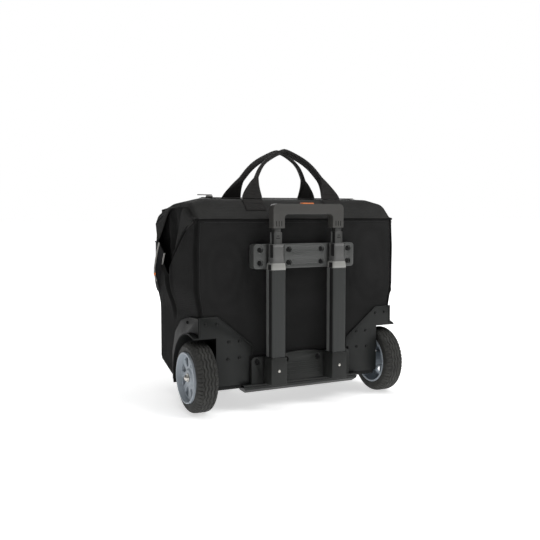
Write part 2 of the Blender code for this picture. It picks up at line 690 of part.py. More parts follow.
def make_rim(name, side, mat):
    half = TYRE_WIDTH / 2
    inside = RIM_RADIUS - RIM_WALL
    web = HUB_FACE - RIM_DISH
    front = web + SPOKE_DEPTH
    edge = half + RIM_PROUD
    profile = [(-half, HUB_BORE), (HUB_FACE, HUB_BORE), (HUB_FACE, HUB_RADIUS),
               (front, HUB_RADIUS + HUB_FLARE), (front, inside - HUB_FLARE / 2), (edge, inside + SINK), (edge, RIM_RADIUS),
               (-half, RIM_RADIUS), (-half, inside), (web, inside), (web, HUB_RADIUS), (-half, HUB_RADIUS)]
    centre = (WHEEL_X, AXLE_Y, AXLE_Z)
    rim = to_object(name, turned(profile, centre, ROUND, ring=True), mat, centre)
    cut(rim, *rim_windows(WHEEL_X + web - OVERSHOOT / 2, WHEEL_X + edge + OVERSHOOT / 2))
    if side < 0:
        mirror_x(rim)
    return smooth(rim)


def make_hub_bush(name, side, mat):
    centre = (side * WHEEL_X, AXLE_Y, AXLE_Z)
    half = TYRE_WIDTH / 2 - GAP
    outer = BUSH_BORE + BUSH_WALL
    profile = [(-half, BUSH_BORE), (half - BUSH_INSET, BUSH_BORE), (half - BUSH_INSET, outer), (-half, outer)]
    profile = [(side * x, r) for x, r in profile]
    return smooth(to_object(name, turned(profile, centre, FINE, ring=True), mat, centre))


def make_axle(mat):
    end = WHEEL_X + HUB_FACE
    return smooth(to_object("axle", rod(-end, end, AXLE_Y, AXLE_Z, AXLE_RADIUS), mat))


def make_axle_nut(name, side, mat):
    base = WHEEL_X + HUB_FACE + GAP
    flange = base + NUT_HEIGHT * NUT_FLANGE
    rise = NUT_HEIGHT * (1 - NUT_FLANGE)
    dome = [(flange + rise * math.sin(math.radians(a)), NUT_RADIUS * NUT_DOME * math.cos(math.radians(a)))
            for a in (3, 31, 60)]
    profile = [(base, 0), (base, NUT_RADIUS), (flange, NUT_RADIUS)] + dome
    profile.append((base + NUT_HEIGHT, 0))
    profile = [(side * x, r) for x, r in profile]
    return smooth(to_object(name, turned(profile, (0, AXLE_Y, AXLE_Z), 18, ring=False), mat))


# ---------------------------------------------------------------- trolley, fixed pieces
def make_outer_tube(name, side, mat):
    outer, bore = box_tube(OUTER_WIDTH, OUTER_DEPTH, OUTER_WALL, side * TUBE_X, OUTER_BOTTOM, OUTER_TOP)
    return cut(to_object(name, outer, mat), bore)


def make_collar(name, side, mat):
    """Plastic throat on an outer tube, narrow above and flared to the tube's size below."""
    def ring(width, depth, z):
        x, y = width / 2, depth / 2
        return [(side * TUBE_X + sx * x, TUBE_Y + sy * y, z) for sx, sy in ((-1, -1), (1, -1), (1, 1), (-1, 1))]

    low = OUTER_TOP + GAP
    height = COLLAR_TOP - low
    wide = OUTER_WIDTH + 2 * COLLAR_PLAY
    deep = OUTER_DEPTH + 2 * SLIDE_GAP
    collar = to_object(name, loft([
        ring(wide, deep, low), ring(wide, deep, low + height * COLLAR_FLARE_LOW),
        ring(COLLAR_NECK_WIDTH, COLLAR_NECK_DEPTH, low + height * COLLAR_FLARE_HIGH),
        ring(COLLAR_NECK_WIDTH, COLLAR_NECK_DEPTH, COLLAR_TOP)]), mat)
    top = COLLAR_TOP + OVERSHOOT
    return cut(collar, tube_space(MID_WIDTH, MID_DEPTH, side * TUBE_X, low - OVERSHOOT, top))


def make_tube_foot(name, side, mat):
    """Cup that stands off the lower bracket and holds the foot of an outer tube."""
    x = side * TUBE_X
    half = FOOT_WIDTH / 2
    near = BACK_Y + GAP + CHANNEL_FLOOR + GAP
    far = TUBE_Y + OUTER_DEPTH / 2 + SLIDE_GAP + FOOT_WALL
    low = OUTER_BOTTOM - GAP - FOOT_FLOOR
    foot = to_object(name, block((x - half, near, low), (x + half, far, FOOT_TOP)), mat)
    bore = FOOT_BORE_WIDTH / 2
    back = far - FOOT_WALL
    return cut(foot, block((x - bore, TUBE_REAR, OUTER_BOTTOM - GAP), (x + bore, back, FOOT_TOP + OVERSHOOT)))


def channels(low, high, floor):
    """Cutters for the two channels, down to a plane, that a bracket has for the trolley's tubes."""
    half = CHANNEL_WIDTH / 2
    far = TUBE_Y + OUTER_DEPTH
    return [block((side * TUBE_X - half, floor, low), (side * TUBE_X + half, far, high))
            for side in SIDES.values()]


def recess(x, z, face):
    """Blind round hole for a bolt head, sunk forward from a face."""
    circle = arc((x, z), BOLT_RECESS, 0, 360 - 30, 11)
    return prism("Y", circle, face - BOLT_RECESS_DEPTH, face + OVERSHOOT)


def bolt_columns():
    """Outside and inside each tube."""
    outside = (TUBE_X + CHANNEL_WIDTH / 2 + UPPER_HALF_WIDTH) / 2
    inside = TUBE_X - CHANNEL_WIDTH / 2 - BOLT_INSIDE
    return (-outside, -inside, inside, outside)


def make_upper_bracket(mat):
    base = BACK_Y + GAP
    face = base + UPPER_THICKNESS
    outline = rounded_rectangle(-UPPER_HALF_WIDTH, UPPER_LOW, UPPER_HALF_WIDTH, UPPER_HIGH, UPPER_CORNER)
    bracket = to_object("upper_bracket", prism("Y", outline, base, face), mat)
    cut(bracket, *channels(UPPER_LOW - OVERSHOOT, UPPER_HIGH + OVERSHOOT, TUBE_REAR - GAP))
    middle = (UPPER_LOW + UPPER_HIGH) / 2
    rows = (middle - BOLT_ROW, middle + BOLT_ROW)
    return cut(bracket, *[recess(x, z, face) for x in bolt_columns() for z in rows])


def lower_bracket_outline(low):
    """Face of the lower bracket in (x, z): rounded end tabs and an arched middle."""
    inner = TUBE_X - CHANNEL_WIDTH / 2
    crown = [(inner * c, LOWER_HIGH + LOWER_CROWN * (1 - c * c)) for c in (1, 0.6, 0.2, -0.2, -0.6, -1)]
    r = LOWER_CORNER
    top = LOWER_HIGH - GAP - r
    return ([(-LOWER_HALF_WIDTH, low), (LOWER_HALF_WIDTH, low)] + arc((LOWER_HALF_WIDTH - r, top), r, 0, 90, 3)
            + crown + arc((r - LOWER_HALF_WIDTH, top), r, 90, 180, 3))


def make_skid(base, low):
    """Lip under the lower bracket, chamfered at its ends, that takes the knocks of kerbs and stairs."""
    reach = from_axle(SKID_REACH)
    front = base - SKID_TUCK
    edge = low - SKID_EDGE
    under = BAG_BOTTOM - 2 * GAP
    skid = [(base, low + SINK), (reach, low + SINK), (reach, edge), (reach - SKID_SLOPE, SKID_BOTTOM),
            (front, SKID_BOTTOM + SKID_TUCK_RISE), (front, under), (base, under)]
    loops = []
    for side in (-1, 1):
        loops.append([(side * (SKID_HALF_WIDTH - SKID_CHAMFER * (z < edge)), y, z) for y, z in skid])
    return loft(loops)


def make_lower_bracket(mat):
    base = BACK_Y + GAP
    face = base + LOWER_THICKNESS
    low = OUTER_BOTTOM - LOWER_DROP
    bracket = to_object("lower_bracket", prism("Y", lower_bracket_outline(low), base, face), mat)
    cut(bracket, *channels(low - OVERSHOOT, LOWER_HIGH + OVERSHOOT, base + CHANNEL_FLOOR))
    cut(bracket, *[recess(x, LOWER_HIGH - BOLT_DROP, face) for x in bolt_columns()])
    return join(bracket, make_skid(base, low))


# ---------------------------------------------------------------- trolley, moving pieces
def make_mid_tube(name, side, mat):
    outer, bore = box_tube(MID_WIDTH, MID_DEPTH, MID_WALL, side * TUBE_X, MID_BOTTOM, MID_TOP)
    return cut(to_object(name, outer, mat), bore)


def make_mid_bush(name, side, mat):
    width = OUTER_WIDTH - 2 * OUTER_WALL - 2 * SLIDE_GAP
    depth = OUTER_DEPTH - 2 * OUTER_WALL - 2 * SLIDE_GAP
    x = side * TUBE_X
    bush = to_object(name, block((x - width / 2, TUBE_Y - depth / 2, MID_BOTTOM),
                                 (x + width / 2, TUBE_Y + depth / 2, MID_BOTTOM + BUSH_HEIGHT)), mat)
    top = MID_BOTTOM + BUSH_HEIGHT + OVERSHOOT
    return cut(bush, tube_space(MID_WIDTH, MID_DEPTH, x, MID_BOTTOM - OVERSHOOT, top))


def make_inner_tube(name, side, mat):
    top = GRIP_LOW + SOCKET_DEPTH - GAP
    outer, bore = box_tube(INNER_WIDTH, INNER_DEPTH, INNER_WALL, side * TUBE_X, INNER_BOTTOM, top)
    return cut(to_object(name, outer, mat), bore)


def make_lock_plug(name, side, mat):
    half_x = INNER_WIDTH / 2 - INNER_WALL - SLIDE_GAP
    half_y = INNER_DEPTH / 2 - INNER_WALL - SLIDE_GAP
    x = side * TUBE_X
    return to_object(name, block((x - half_x, TUBE_Y - half_y, INNER_BOTTOM - PLUG_BELOW),
                                 (x + half_x, TUBE_Y + half_y, INNER_BOTTOM + PLUG_ABOVE)), mat)


def yoke_top():
    return GRIP_TOP - YOKE_DROP


def make_grip(mat):
    near = TUBE_Y - GRIP_DEPTH / 2
    far = TUBE_Y + GRIP_DEPTH / 2
    w = GRIP_HALF_WIDTH
    outline = ([(w, GRIP_LOW)] + arc((w - GRIP_CORNER, GRIP_TOP - GRIP_CORNER), GRIP_CORNER, 0, 90, 4)
               + arc((GRIP_CORNER - w, GRIP_TOP - GRIP_CORNER), GRIP_CORNER, 90, 180, 4) + [(-w, GRIP_LOW)])
    inner = w - GRIP_LEG
    under = GRIP_TOP - GRIP_BAR
    r = GRIP_INNER_CORNER
    outline += [(-inner, GRIP_LOW)] + arc((r - inner, under - r), r, 180, 90, 4)
    outline += arc((inner - r, under - r), r, 90, 0, 4) + [(inner, GRIP_LOW)]
    grip = to_object("grip", prism("Y", outline, near, far), mat)
    slot_x = TUBE_X + YOKE_DEPTH / 2 + YOKE_ROOM
    slot_y = YOKE_DEPTH / 2 + GAP
    slot_low = yoke_top() - YOKE_HEIGHT - BUTTON_TRAVEL - YOKE_ROOM
    cut(grip, block((-slot_x, TUBE_Y - slot_y, slot_low), (slot_x, TUBE_Y + slot_y, yoke_top() + GAP)))
    half = BUTTON_HALF_WIDTH + GAP
    deep = BUTTON_DEPTH / 2 + GAP
    cut(grip, block((-half, TUBE_Y - deep, slot_low + GAP), (half, TUBE_Y + deep, GRIP_TOP + OVERSHOOT)))
    for side in SIDES.values():
        x = side * TUBE_X
        cut(grip, tube_space(INNER_WIDTH, INNER_DEPTH, x, GRIP_LOW - OVERSHOOT, GRIP_LOW + SOCKET_DEPTH))
        cut(grip, upright(x, TUBE_Y, GRIP_LOW, slot_low + SINK, ROD_RADIUS + GAP, 12))
    return grip


def make_release_button(mat):
    """Button, the yoke under it and the two pull rods that reach down to the lock plugs."""
    top = GRIP_TOP + BUTTON_PROUD
    half = TUBE_X + YOKE_DEPTH / 2
    low = yoke_top() - YOKE_HEIGHT
    pad = block((-BUTTON_HALF_WIDTH, TUBE_Y - BUTTON_DEPTH / 2, low + SINK),
                (BUTTON_HALF_WIDTH, TUBE_Y + BUTTON_DEPTH / 2, top))
    button = to_object("release_button", pad, mat, Vector((0, TUBE_Y, GRIP_TOP)))
    yoke = block((-half, TUBE_Y - YOKE_DEPTH / 2, low), (half, TUBE_Y + YOKE_DEPTH / 2, yoke_top()))
    rod_low = INNER_BOTTOM + PLUG_ABOVE + BUTTON_TRAVEL + YOKE_ROOM
    rods = [upright(side * TUBE_X, TUBE_Y, rod_low, low + SINK, ROD_RADIUS, 10) for side in SIDES.values()]
    return join(button, yoke, *rods)


# ---------------------------------------------------------------- carry handles
def strap_lean():
    """Sideways run over rise of a handle's plane, so that the two grips meet above the zip."""
    reach = (REAR_RIDGE_Y - FRONT_RIDGE_Y) / 2 - STRAP_GRIP_WIDTH / 2 - STRAP_APEX_GAP
    return math.asin(reach / STRAP_RISE)


def strap_section(rise):
    """Half sizes of the webbing across and along the handle's plane at a height."""
    folded = min(1.0, max(0.0, (rise - STRAP_FLAT) / STRAP_FOLD))
    in_plane = STRAP_FOOT_WIDTH / 2 * (1 - folded) + STRAP_GRIP_THICKNESS / 2 * folded
    across = STRAP_THICKNESS / 2 * (1 - folded) + STRAP_GRIP_WIDTH / 2 * folded
    return in_plane, across


def strap_turns():
    """Angles round a handle's loop, close together where the webbing folds."""
    rising = [math.radians(t) for t in (STRAP_START, 6, 11, 15, 19, 23, 27, 35, 46, 58, 73)]
    return rising + [math.pi / 2] + [math.pi - t for t in reversed(rising)]


def bowed(value):
    """A sine or cosine drawn in, which straightens the legs of a loop."""
    return math.copysign(abs(value) ** STRAP_BOW, value)


def make_handle(name, pivot, towards, mat):
    """Webbing loop whose plane leans from its pivot towards the zip."""
    lean = strap_lean() * towards
    up = Vector((0, math.sin(lean), math.cos(lean)))
    out = Vector((0, math.cos(lean), -math.sin(lean)))
    loops = []
    for t in strap_turns():
        run = STRAP_HALF_SPAN * bowed(math.cos(t))
        rise = STRAP_RISE * bowed(math.sin(t))
        in_plane, across = strap_section(rise)
        turned_in = min(1.0, max(0.0, (rise - STRAP_FLAT) / STRAP_LEVEL))
        normal = Vector((run / STRAP_HALF_SPAN ** 2, rise / STRAP_RISE ** 2)).normalized()
        straight = Vector((math.copysign(1, math.cos(t)), 0))
        normal = straight.lerp(normal, turned_in).normalized()
        middle = Vector((run, 0, 0)) + up * rise
        side = Vector((normal.x, 0, 0)) + up * normal.y
        loops.append([pivot + middle + side * (a * in_plane) + out * (b * across)
                      for a, b in ((-1, -1), (1, -1), (1, 1), (-1, 1))])
    return to_object(name, loft(loops), mat, pivot)


def make_handle_tab(name, side, pivot, downhill, mat, body_pivot):
    """Webbing sewn flat on the slope below one foot of a handle."""
    along = Vector((0, downhill[0], downhill[1])).normalized()
    normal = Vector((0, -along.z, along.y))
    if normal.z < 0:
        normal.negate()
    start = pivot + normal * GAP + along * TAB_START
    end = start + along * STRAP_SEWN
    half = STRAP_FOOT_WIDTH / 2
    loops = []
    for x in (side * STRAP_HALF_SPAN - half, side * STRAP_HALF_SPAN + half):
        offset = Vector((x, 0, 0))
        lift = normal * TAB_THICKNESS
        loops.append([offset + start, offset + end, offset + end + lift, offset + start + lift])
    return to_object(name, loft(loops), mat, body_pivot)


# ---------------------------------------------------------------- small pieces
def make_zip_slider(mat, centre):
    x, y, z = centre
    half_x = SLIDER_LENGTH / 2
    half_y = SLIDER_WIDTH / 2
    shape = block((x - half_x, y - half_y, z), (x + half_x, y + half_y, z + SLIDER_HEIGHT))
    return to_object("zip_slider", shape, mat, centre)


def make_zip_pull(mat, centre):
    x, y, z = centre
    low = z + SLIDER_HEIGHT + GAP
    pivot = Vector((x - PULL_PIVOT, y, low + PULL_THICKNESS / 2))
    half = PULL_WIDTH / 2 - GAP
    start = x - PULL_PIVOT
    outline = rounded_rectangle(start, y - half, start + PULL_LENGTH, y + half, half - GAP)
    return to_object("zip_pull", prism("Z", outline, low, low + PULL_THICKNESS), mat, pivot)


def make_front_foot(name, side, mat):
    y = from_axle(-FRONT_FOOT_REACH)
    half = FRONT_FOOT_DEPTH / 2
    top = BAG_BOTTOM - GAP
    bag_rise = (y - half) - (FRONT_Y + PANEL + GAP + TRAY_RISE_RUN)
    slope = TRAY_RISE / TRAY_RISE_RUN
    outline = [(y + half, FOOT_PAD + GAP), (y + half, top - slope * min(0.0, bag_rise + 2 * half)),
               (y - half, top - slope * min(0.0, bag_rise)), (y - half, FOOT_PAD + GAP)]
    reach = sorted((side * FRONT_FOOT_INNER, side * (FRONT_FOOT_INNER + FRONT_FOOT_LENGTH)))
    return to_object(name, prism("X", outline, *reach), mat)


def make_foot_pad(name, side, mat):
    y = from_axle(-FRONT_FOOT_REACH)
    half = FRONT_FOOT_DEPTH / 2 + PAD_MARGIN
    inner = FRONT_FOOT_INNER - PAD_MARGIN
    low_x, high_x = sorted((side * inner, side * (inner + FRONT_FOOT_LENGTH + 2 * PAD_MARGIN)))
    outline = rounded_rectangle(low_x, y - half, high_x, y + half, PAD_CORNER)
    return to_object(name, prism("Z", outline, 0, FOOT_PAD), mat)


def make_end_pocket(mat):
    """Open-topped pocket for a small tool on the +X end."""
    y = from_axle(-END_POCKET_REACH)
    half = END_POCKET_WIDTH / 2
    base = BAG_HALF_WIDTH + GAP
    outer = base + END_POCKET_DEPTH
    high = END_POCKET_LOW + END_POCKET_HEIGHT
    sag = END_POCKET_LOW + END_POCKET_HEIGHT * END_POCKET_BELLY
    foot = outer - END_POCKET_FOOT
    mouth = outer - END_POCKET_MOUTH
    outline = [(base, END_POCKET_LOW), (foot, END_POCKET_LOW), (outer, sag), (mouth, high), (base, high)]
    pocket = to_object("end_pocket", prism("Y", outline, y - half, y + half), mat)
    wall = END_POCKET_WALL
    over = high + OVERSHOOT
    inner = [(base + wall, END_POCKET_LOW + wall), (foot - wall, END_POCKET_LOW + wall), (outer - wall, sag),
             (mouth - wall, over), (base + wall, over)]
    return cut(pocket, prism("Y", inner, y - half + wall, y + half - wall))


def make_side_tab(mat):
    """Short webbing tab on the -X end near the back."""
    base = -BAG_HALF_WIDTH - GAP
    y = BACK_Y - SIDE_TAB_BACK
    outline = [(base, SIDE_TAB_HIGH), (base, SIDE_TAB_LOW), (base - SIDE_TAB_DEPTH, SIDE_TAB_TIP)]
    half = SIDE_TAB_WIDTH / 2
    return to_object("side_tab", prism("Y", outline, y - half, y + half), mat)


# ---------------------------------------------------------------- the whole object
def make_materials():
    return {
        "fabric": material("black_canvas", (0.020, 0.020, 0.022), 0.85),
        "lining": material("grey_lining", (0.16, 0.16, 0.17), 0.90),
        "webbing": material("black_webbing", (0.024, 0.024, 0.026), 0.80),
        "plastic": material("black_plastic", (0.028, 0.028, 0.030), 0.45),
        "gloss": material("collar_plastic", (0.040, 0.040, 0.044), 0.25),
        "grip": material("grip_plastic", (0.050, 0.050, 0.055), 0.50),
        "button": material("orange_button", (0.80, 0.22, 0.05), 0.45),
        "rim": material("grey_rim", (0.45, 0.50, 0.56), 0.40),
        "tyre": material("tyre_rubber", (0.020, 0.020, 0.020), 0.75),
        "rubber": material("pad_rubber", (0.015, 0.015, 0.015), 0.85),
        "steel": material("bright_steel", (0.60, 0.60, 0.60), 0.25, 1.0),
        "aluminium": material("black_aluminium", (0.10, 0.10, 0.11), 0.35, 0.8),
        "board": material("floor_board", (0.05, 0.05, 0.05), 0.70),
    }


def build_bag(mats):
    make_base_tray(mats["plastic"])
    make_floor_board(mats["board"])
    make_back_panel(mats["fabric"])
    make_front_panel(mats["fabric"])
    make_shoulder(mats["fabric"])
    make_lid(mats["fabric"])
    make_hem_rod("rear_hem_rod", HEM_ROD_OFFSET, mats["steel"], ORIGIN)
    make_hem_rod("lid_hem_rod", -HEM_ROD_OFFSET, mats["steel"], LID_PIVOT)
    make_zip_tape("zip_tape_rear", 1, mats["webbing"], ORIGIN)
    make_zip_tape("zip_tape_lid", -1, mats["webbing"], LID_PIVOT)
    make_tool_divider(mats["lining"])
    make_front_pocket(mats["fabric"])
    make_pocket_flap(mats["fabric"])
    make_end_pocket(mats["fabric"])
    make_side_tab(mats["webbing"])


def build_sides(mats):
    for word, side in SIDES.items():
        make_end_panel("end_panel_" + word, side, mats["fabric"])
        make_gusset("gusset_" + word, side, mats["fabric"])
        make_guard("corner_guard_" + word, side, mats["plastic"])
        make_front_foot("front_foot_" + word, side, mats["plastic"])
        make_foot_pad("foot_pad_" + word, side, mats["rubber"])


def build_wheels(mats):
    make_axle(mats["steel"])
    for word, side in SIDES.items():
        make_tyre("tyre_" + word, side, mats["tyre"])
        make_rim("rim_" + word, side, mats["rim"])
        make_hub_bush("hub_bush_" + word, side, mats["plastic"])
        make_axle_nut("axle_nut_" + word, side, mats["steel"])


def build_trolley(mats):
    make_upper_bracket(mats["plastic"])
    make_lower_bracket(mats["plastic"])
    make_grip(mats["grip"])
    make_release_button(mats["button"])
    for word, side in SIDES.items():
        make_outer_tube("outer_tube_" + word, side, mats["aluminium"])
        make_collar("collar_" + word, side, mats["gloss"])
        make_tube_foot("tube_foot_" + word, side, mats["plastic"])
        make_mid_tube("mid_tube_" + word, side, mats["aluminium"])
        make_mid_bush("mid_bush_" + word, side, mats["plastic"])
        make_inner_tube("inner_tube_" + word, side, mats["aluminium"])
        make_lock_plug("lock_plug_" + word, side, mats["plastic"])


def build_handles(mats):
    make_handle("rear_handle", REAR_PIVOT, -1, mats["webbing"])
    make_handle("front_handle", FRONT_PIVOT, 1, mats["webbing"])
    rear_slope = (REAR_RIDGE_RUN, BACK_SEAM - RIDGE_HEIGHT)
    front_slope = (FRONT_Y - FRONT_RIDGE_Y, FRONT_SEAM + PANEL - RIDGE_HEIGHT)
    for word, side in SIDES.items():
        make_handle_tab("rear_handle_tab_" + word, side, REAR_PIVOT, rear_slope, mats["webbing"], ORIGIN)
        make_handle_tab("lid_handle_tab_" + word, side, FRONT_PIVOT, front_slope, mats["webbing"], LID_PIVOT)


def build_zip(mats):
    above = ZIP_Z + 2 * GAP + ZIP_TAPE_THICKNESS
    centre = Vector((BAG_HALF_WIDTH * RIDGE_LEVEL - SLIDER_INSET, ZIP_Y + SLIDER_OFFSET, above))
    make_zip_slider(mats["steel"], centre)
    make_zip_pull(mats["steel"], centre)


def main():
    clear_scene()
    mats = make_materials()
    build_bag(mats)
    build_sides(mats)
    build_wheels(mats)
    build_trolley(mats)
    build_handles(mats)
    build_zip(mats)


main()
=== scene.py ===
import json
import math

import bmesh
import bpy
import numpy as np
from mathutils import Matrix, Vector, noise

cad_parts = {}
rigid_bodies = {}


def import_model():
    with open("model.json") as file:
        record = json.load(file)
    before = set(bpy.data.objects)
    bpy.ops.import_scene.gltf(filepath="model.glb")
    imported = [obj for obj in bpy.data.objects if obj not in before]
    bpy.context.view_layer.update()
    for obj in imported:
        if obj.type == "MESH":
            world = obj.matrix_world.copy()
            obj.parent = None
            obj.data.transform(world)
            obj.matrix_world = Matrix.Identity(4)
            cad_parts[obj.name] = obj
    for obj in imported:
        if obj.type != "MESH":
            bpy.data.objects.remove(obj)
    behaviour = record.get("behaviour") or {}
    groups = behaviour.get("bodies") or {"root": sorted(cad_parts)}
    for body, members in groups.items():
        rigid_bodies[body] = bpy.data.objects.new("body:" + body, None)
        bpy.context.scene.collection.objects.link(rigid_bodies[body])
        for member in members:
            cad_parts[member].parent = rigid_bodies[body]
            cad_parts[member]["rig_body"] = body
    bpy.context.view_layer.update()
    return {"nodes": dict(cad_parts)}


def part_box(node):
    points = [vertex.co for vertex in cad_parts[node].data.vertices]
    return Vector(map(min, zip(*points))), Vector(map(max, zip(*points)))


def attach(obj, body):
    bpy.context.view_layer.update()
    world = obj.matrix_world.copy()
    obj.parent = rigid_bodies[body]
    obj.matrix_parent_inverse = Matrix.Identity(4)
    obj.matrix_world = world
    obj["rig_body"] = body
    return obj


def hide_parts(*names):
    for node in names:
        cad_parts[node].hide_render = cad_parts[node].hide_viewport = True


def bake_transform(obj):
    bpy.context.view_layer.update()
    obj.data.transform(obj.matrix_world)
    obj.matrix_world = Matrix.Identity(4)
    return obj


# Looks of the rolling tool bag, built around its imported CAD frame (metres, +Z up, +Y the trolley side)
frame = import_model()
NODES = frame["nodes"]
SIDES = {"left": 1, "right": -1}

# ---------------------------------------------------------------- places read from the frame
BACK_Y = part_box("back_panel")[1].y
FRONT_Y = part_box("front_panel")[0].y
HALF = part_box("back_panel")[1].x
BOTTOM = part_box("base_tray")[0].z
BACK_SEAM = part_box("back_panel")[1].z
FRONT_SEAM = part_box("front_panel")[1].z
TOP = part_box("rear_shoulder")[1].z
ZIP_Y = (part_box("rear_shoulder")[0].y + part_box("lid")[1].y) / 2
AXLE_LOW, AXLE_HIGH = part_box("axle")
AXLE = (AXLE_LOW + AXLE_HIGH) / 2
WHEEL_X = sum(v.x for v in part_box("tyre_left")) / 2
WHEEL_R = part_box("tyre_left")[1].z / 2
TYRE_HALF = (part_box("tyre_left")[1].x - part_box("tyre_left")[0].x) / 2
TUBE_X = sum(v.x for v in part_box("outer_tube_left")) / 2
WELL_R = WHEEL_R + 0.0201
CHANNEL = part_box("outer_tube_left")[1].x - TUBE_X + 0.0021
REAR_RIDGE_Y = BACK_Y - 0.0355
FRONT_RIDGE_Y = ZIP_Y - 0.0580
MIDDLE = Vector((0, 0, 0.25))

# ---------------------------------------------------------------- chosen sizes
RIDGE_Z = 0.4550
RIDGE_DROP = 0.0100          # fall of the ridge towards the bag's ends
RIDGE_LEVEL = 0.83           # share of the half width over which the ridge stays level
LID_END_RADIUS = 0.020
BACK_CORNER = 0.0085         # corner radii of the canvas body in plan
FRONT_CORNER = BACK_CORNER * 1.8
SWELL = 0.0085               # how far the ends stand out past the frame at most
SWELL_RISE = (0.205, 0.060)  # where the ends begin to swell, and over what height
SWELL_FALL = (0.350, 0.060)
CREASE_DEPTH = 0.0190        # the fold down the middle of each end
CREASE_WIDTH = 0.0100
LIP_HEIGHT = 0.0045          # soft lips on both sides of that fold
LIP_AWAY = 0.014
WELL_INSIDE = 0.1985         # x range of the wheel wells
WELL_OUTSIDE = 0.262
SHELL_THICK = 0.0022         # fabric thicknesses
TOP_THICK = 0.0020
EAR_THICK = 0.0018
GUSSET_THICK = 0.0014
GUSSET_FOOT = 0.262          # lowest z of the gussets
PIPING = 0.0017
CORNER_PIPING = 0.0027
END_POCKET_OUT = 0.0185      # the end pocket's reach out of the bag's end
END_POCKET_STAND = 0.0080    # and its stand off that end
PLATE = 0.0027               # the guards' plate, out from the canvas
RIVET = (0.0036, 0.0022)     # radius and height
GUARD_RIVETS = ((0.2266, 0.1928), (0.2011, 0.1919), (0.1739, 0.1522), (0.1486, 0.1519), (0.1761, 0.1150),
                (0.1495, 0.1162))
BOLT = (0.0049, 0.0010)
BOLT_RISE = 0.014            # upper bracket's bolts above and below its middle
LOWER_BOLT_Z = 0.1050
BOLT_DEPTH = 0.0040
LOWER_PLATE = 0.0098         # the lower bracket's face, out from the canvas
STRIP = 0.0002               # half thickness of the strips of painted shade (black) and painted highlight (pale) on the tubes
COLLAR_NECK = (0.0262, 0.0284)
COLLAR_FLARE = ((0.10, 1.0), (0.16, 0.95), (0.22, 0.78), (0.27, 0.50))
COLLAR_BORE = (0.0195, 0.0190)


# ---------------------------------------------------------------- materials
WAVE_PITCH = 0.314159        # pitch of the wave texture at scale 1


class Shader:
    """A material under construction: a few short ways to add nodes."""

    def __init__(self, name, colour, roughness, metallic=0.0):
        self.mat = bpy.data.materials.new(name)
        self.mat.use_nodes = True
        self.tree = self.mat.node_tree
        self.bsdf = self.tree.nodes["Principled BSDF"]
        self.colour = colour
        self.set(Base_Color=(*colour, 1), Roughness=roughness, Metallic=metallic)
        self.coords = self.node("ShaderNodeTexCoord").outputs["Object"]
        self.height = None

    def node(self, kind, inputs=None, **values):
        made = self.tree.nodes.new(kind)
        for key, value in values.items():
            setattr(made, key, value)
        for key, value in (inputs or {}).items():
            made.inputs[key].default_value = value
        return made

    def link(self, a, b):
        self.tree.links.new(a, b)

    def set(self, **values):
        for key, value in values.items():
            self.bsdf.inputs[key.replace("_", " ")].default_value = value
        return self

    def noise(self, scale, detail=3.0, roughness=0.55):
        made = self.node("ShaderNodeTexNoise", {"Scale": scale, "Detail": detail, "Roughness": roughness})
        self.link(self.coords, made.inputs["Vector"])
        return made.outputs["Fac"]

    def waves(self, direction, pitch):
        made = self.node("ShaderNodeTexWave", {"Scale": WAVE_PITCH / pitch}, bands_direction=direction)
        self.link(self.coords, made.inputs["Vector"])
        return made.outputs["Fac"]

    def math(self, operation, a, b):
        made = self.node("ShaderNodeMath", operation=operation)
        for socket, value in zip(made.inputs, (a, b)):
            if isinstance(value, (int, float)):
                socket.default_value = value
            else:
                self.link(value, socket)
        return made.outputs[0]

    def spread(self, fac, low, high):
        made = self.node("ShaderNodeMapRange", {"To Min": low, "To Max": high})
        self.link(fac, made.inputs["Value"])
        return made.outputs["Result"]

    def tint(self, fac, dark, light):
        """Base colour between a darker and a lighter share of itself."""
        ramp = self.node("ShaderNodeValToRGB")
        for stop, share, place in zip(ramp.color_ramp.elements, (dark, light), (0.3, 0.7)):
            stop.position = place
            stop.color = (*[c * share for c in self.colour], 1)
        self.link(fac, ramp.inputs["Fac"])
        self.link(ramp.outputs["Color"], self.bsdf.inputs["Base Color"])
        return self

    def sideways(self):
        """How much a surface faces the bag's ends, 0 to 1."""
        split = self.node("ShaderNodeSeparateXYZ")
        self.link(self.node("ShaderNodeNewGeometry").outputs["Normal"], split.inputs[0])
        return self.math("ABSOLUTE", split.outputs["X"], 0.0)

    def shade(self, fac, share):
        """Multiply the base colour down to a share of itself where fac is 1."""
        mix = self.node("ShaderNodeVectorMath", operation="SCALE")
        self.link(self.bsdf.inputs["Base Color"].links[0].from_socket, mix.inputs[0])
        self.link(self.spread(fac, 1.0, share), mix.inputs["Scale"])
        self.link(mix.outputs["Vector"], self.bsdf.inputs["Base Color"])

    def rough(self, fac, low, high):
        self.link(self.spread(fac, low, high), self.bsdf.inputs["Roughness"])
        return self

    def bump(self, fac, distance, strength):
        made = self.node("ShaderNodeBump", {"Distance": distance, "Strength": strength})
        self.link(fac, made.inputs["Height"])
        if self.height:
            self.link(self.height, made.inputs["Normal"])
        self.height = made.outputs["Normal"]
        self.link(self.height, self.bsdf.inputs["Normal"])
        return self


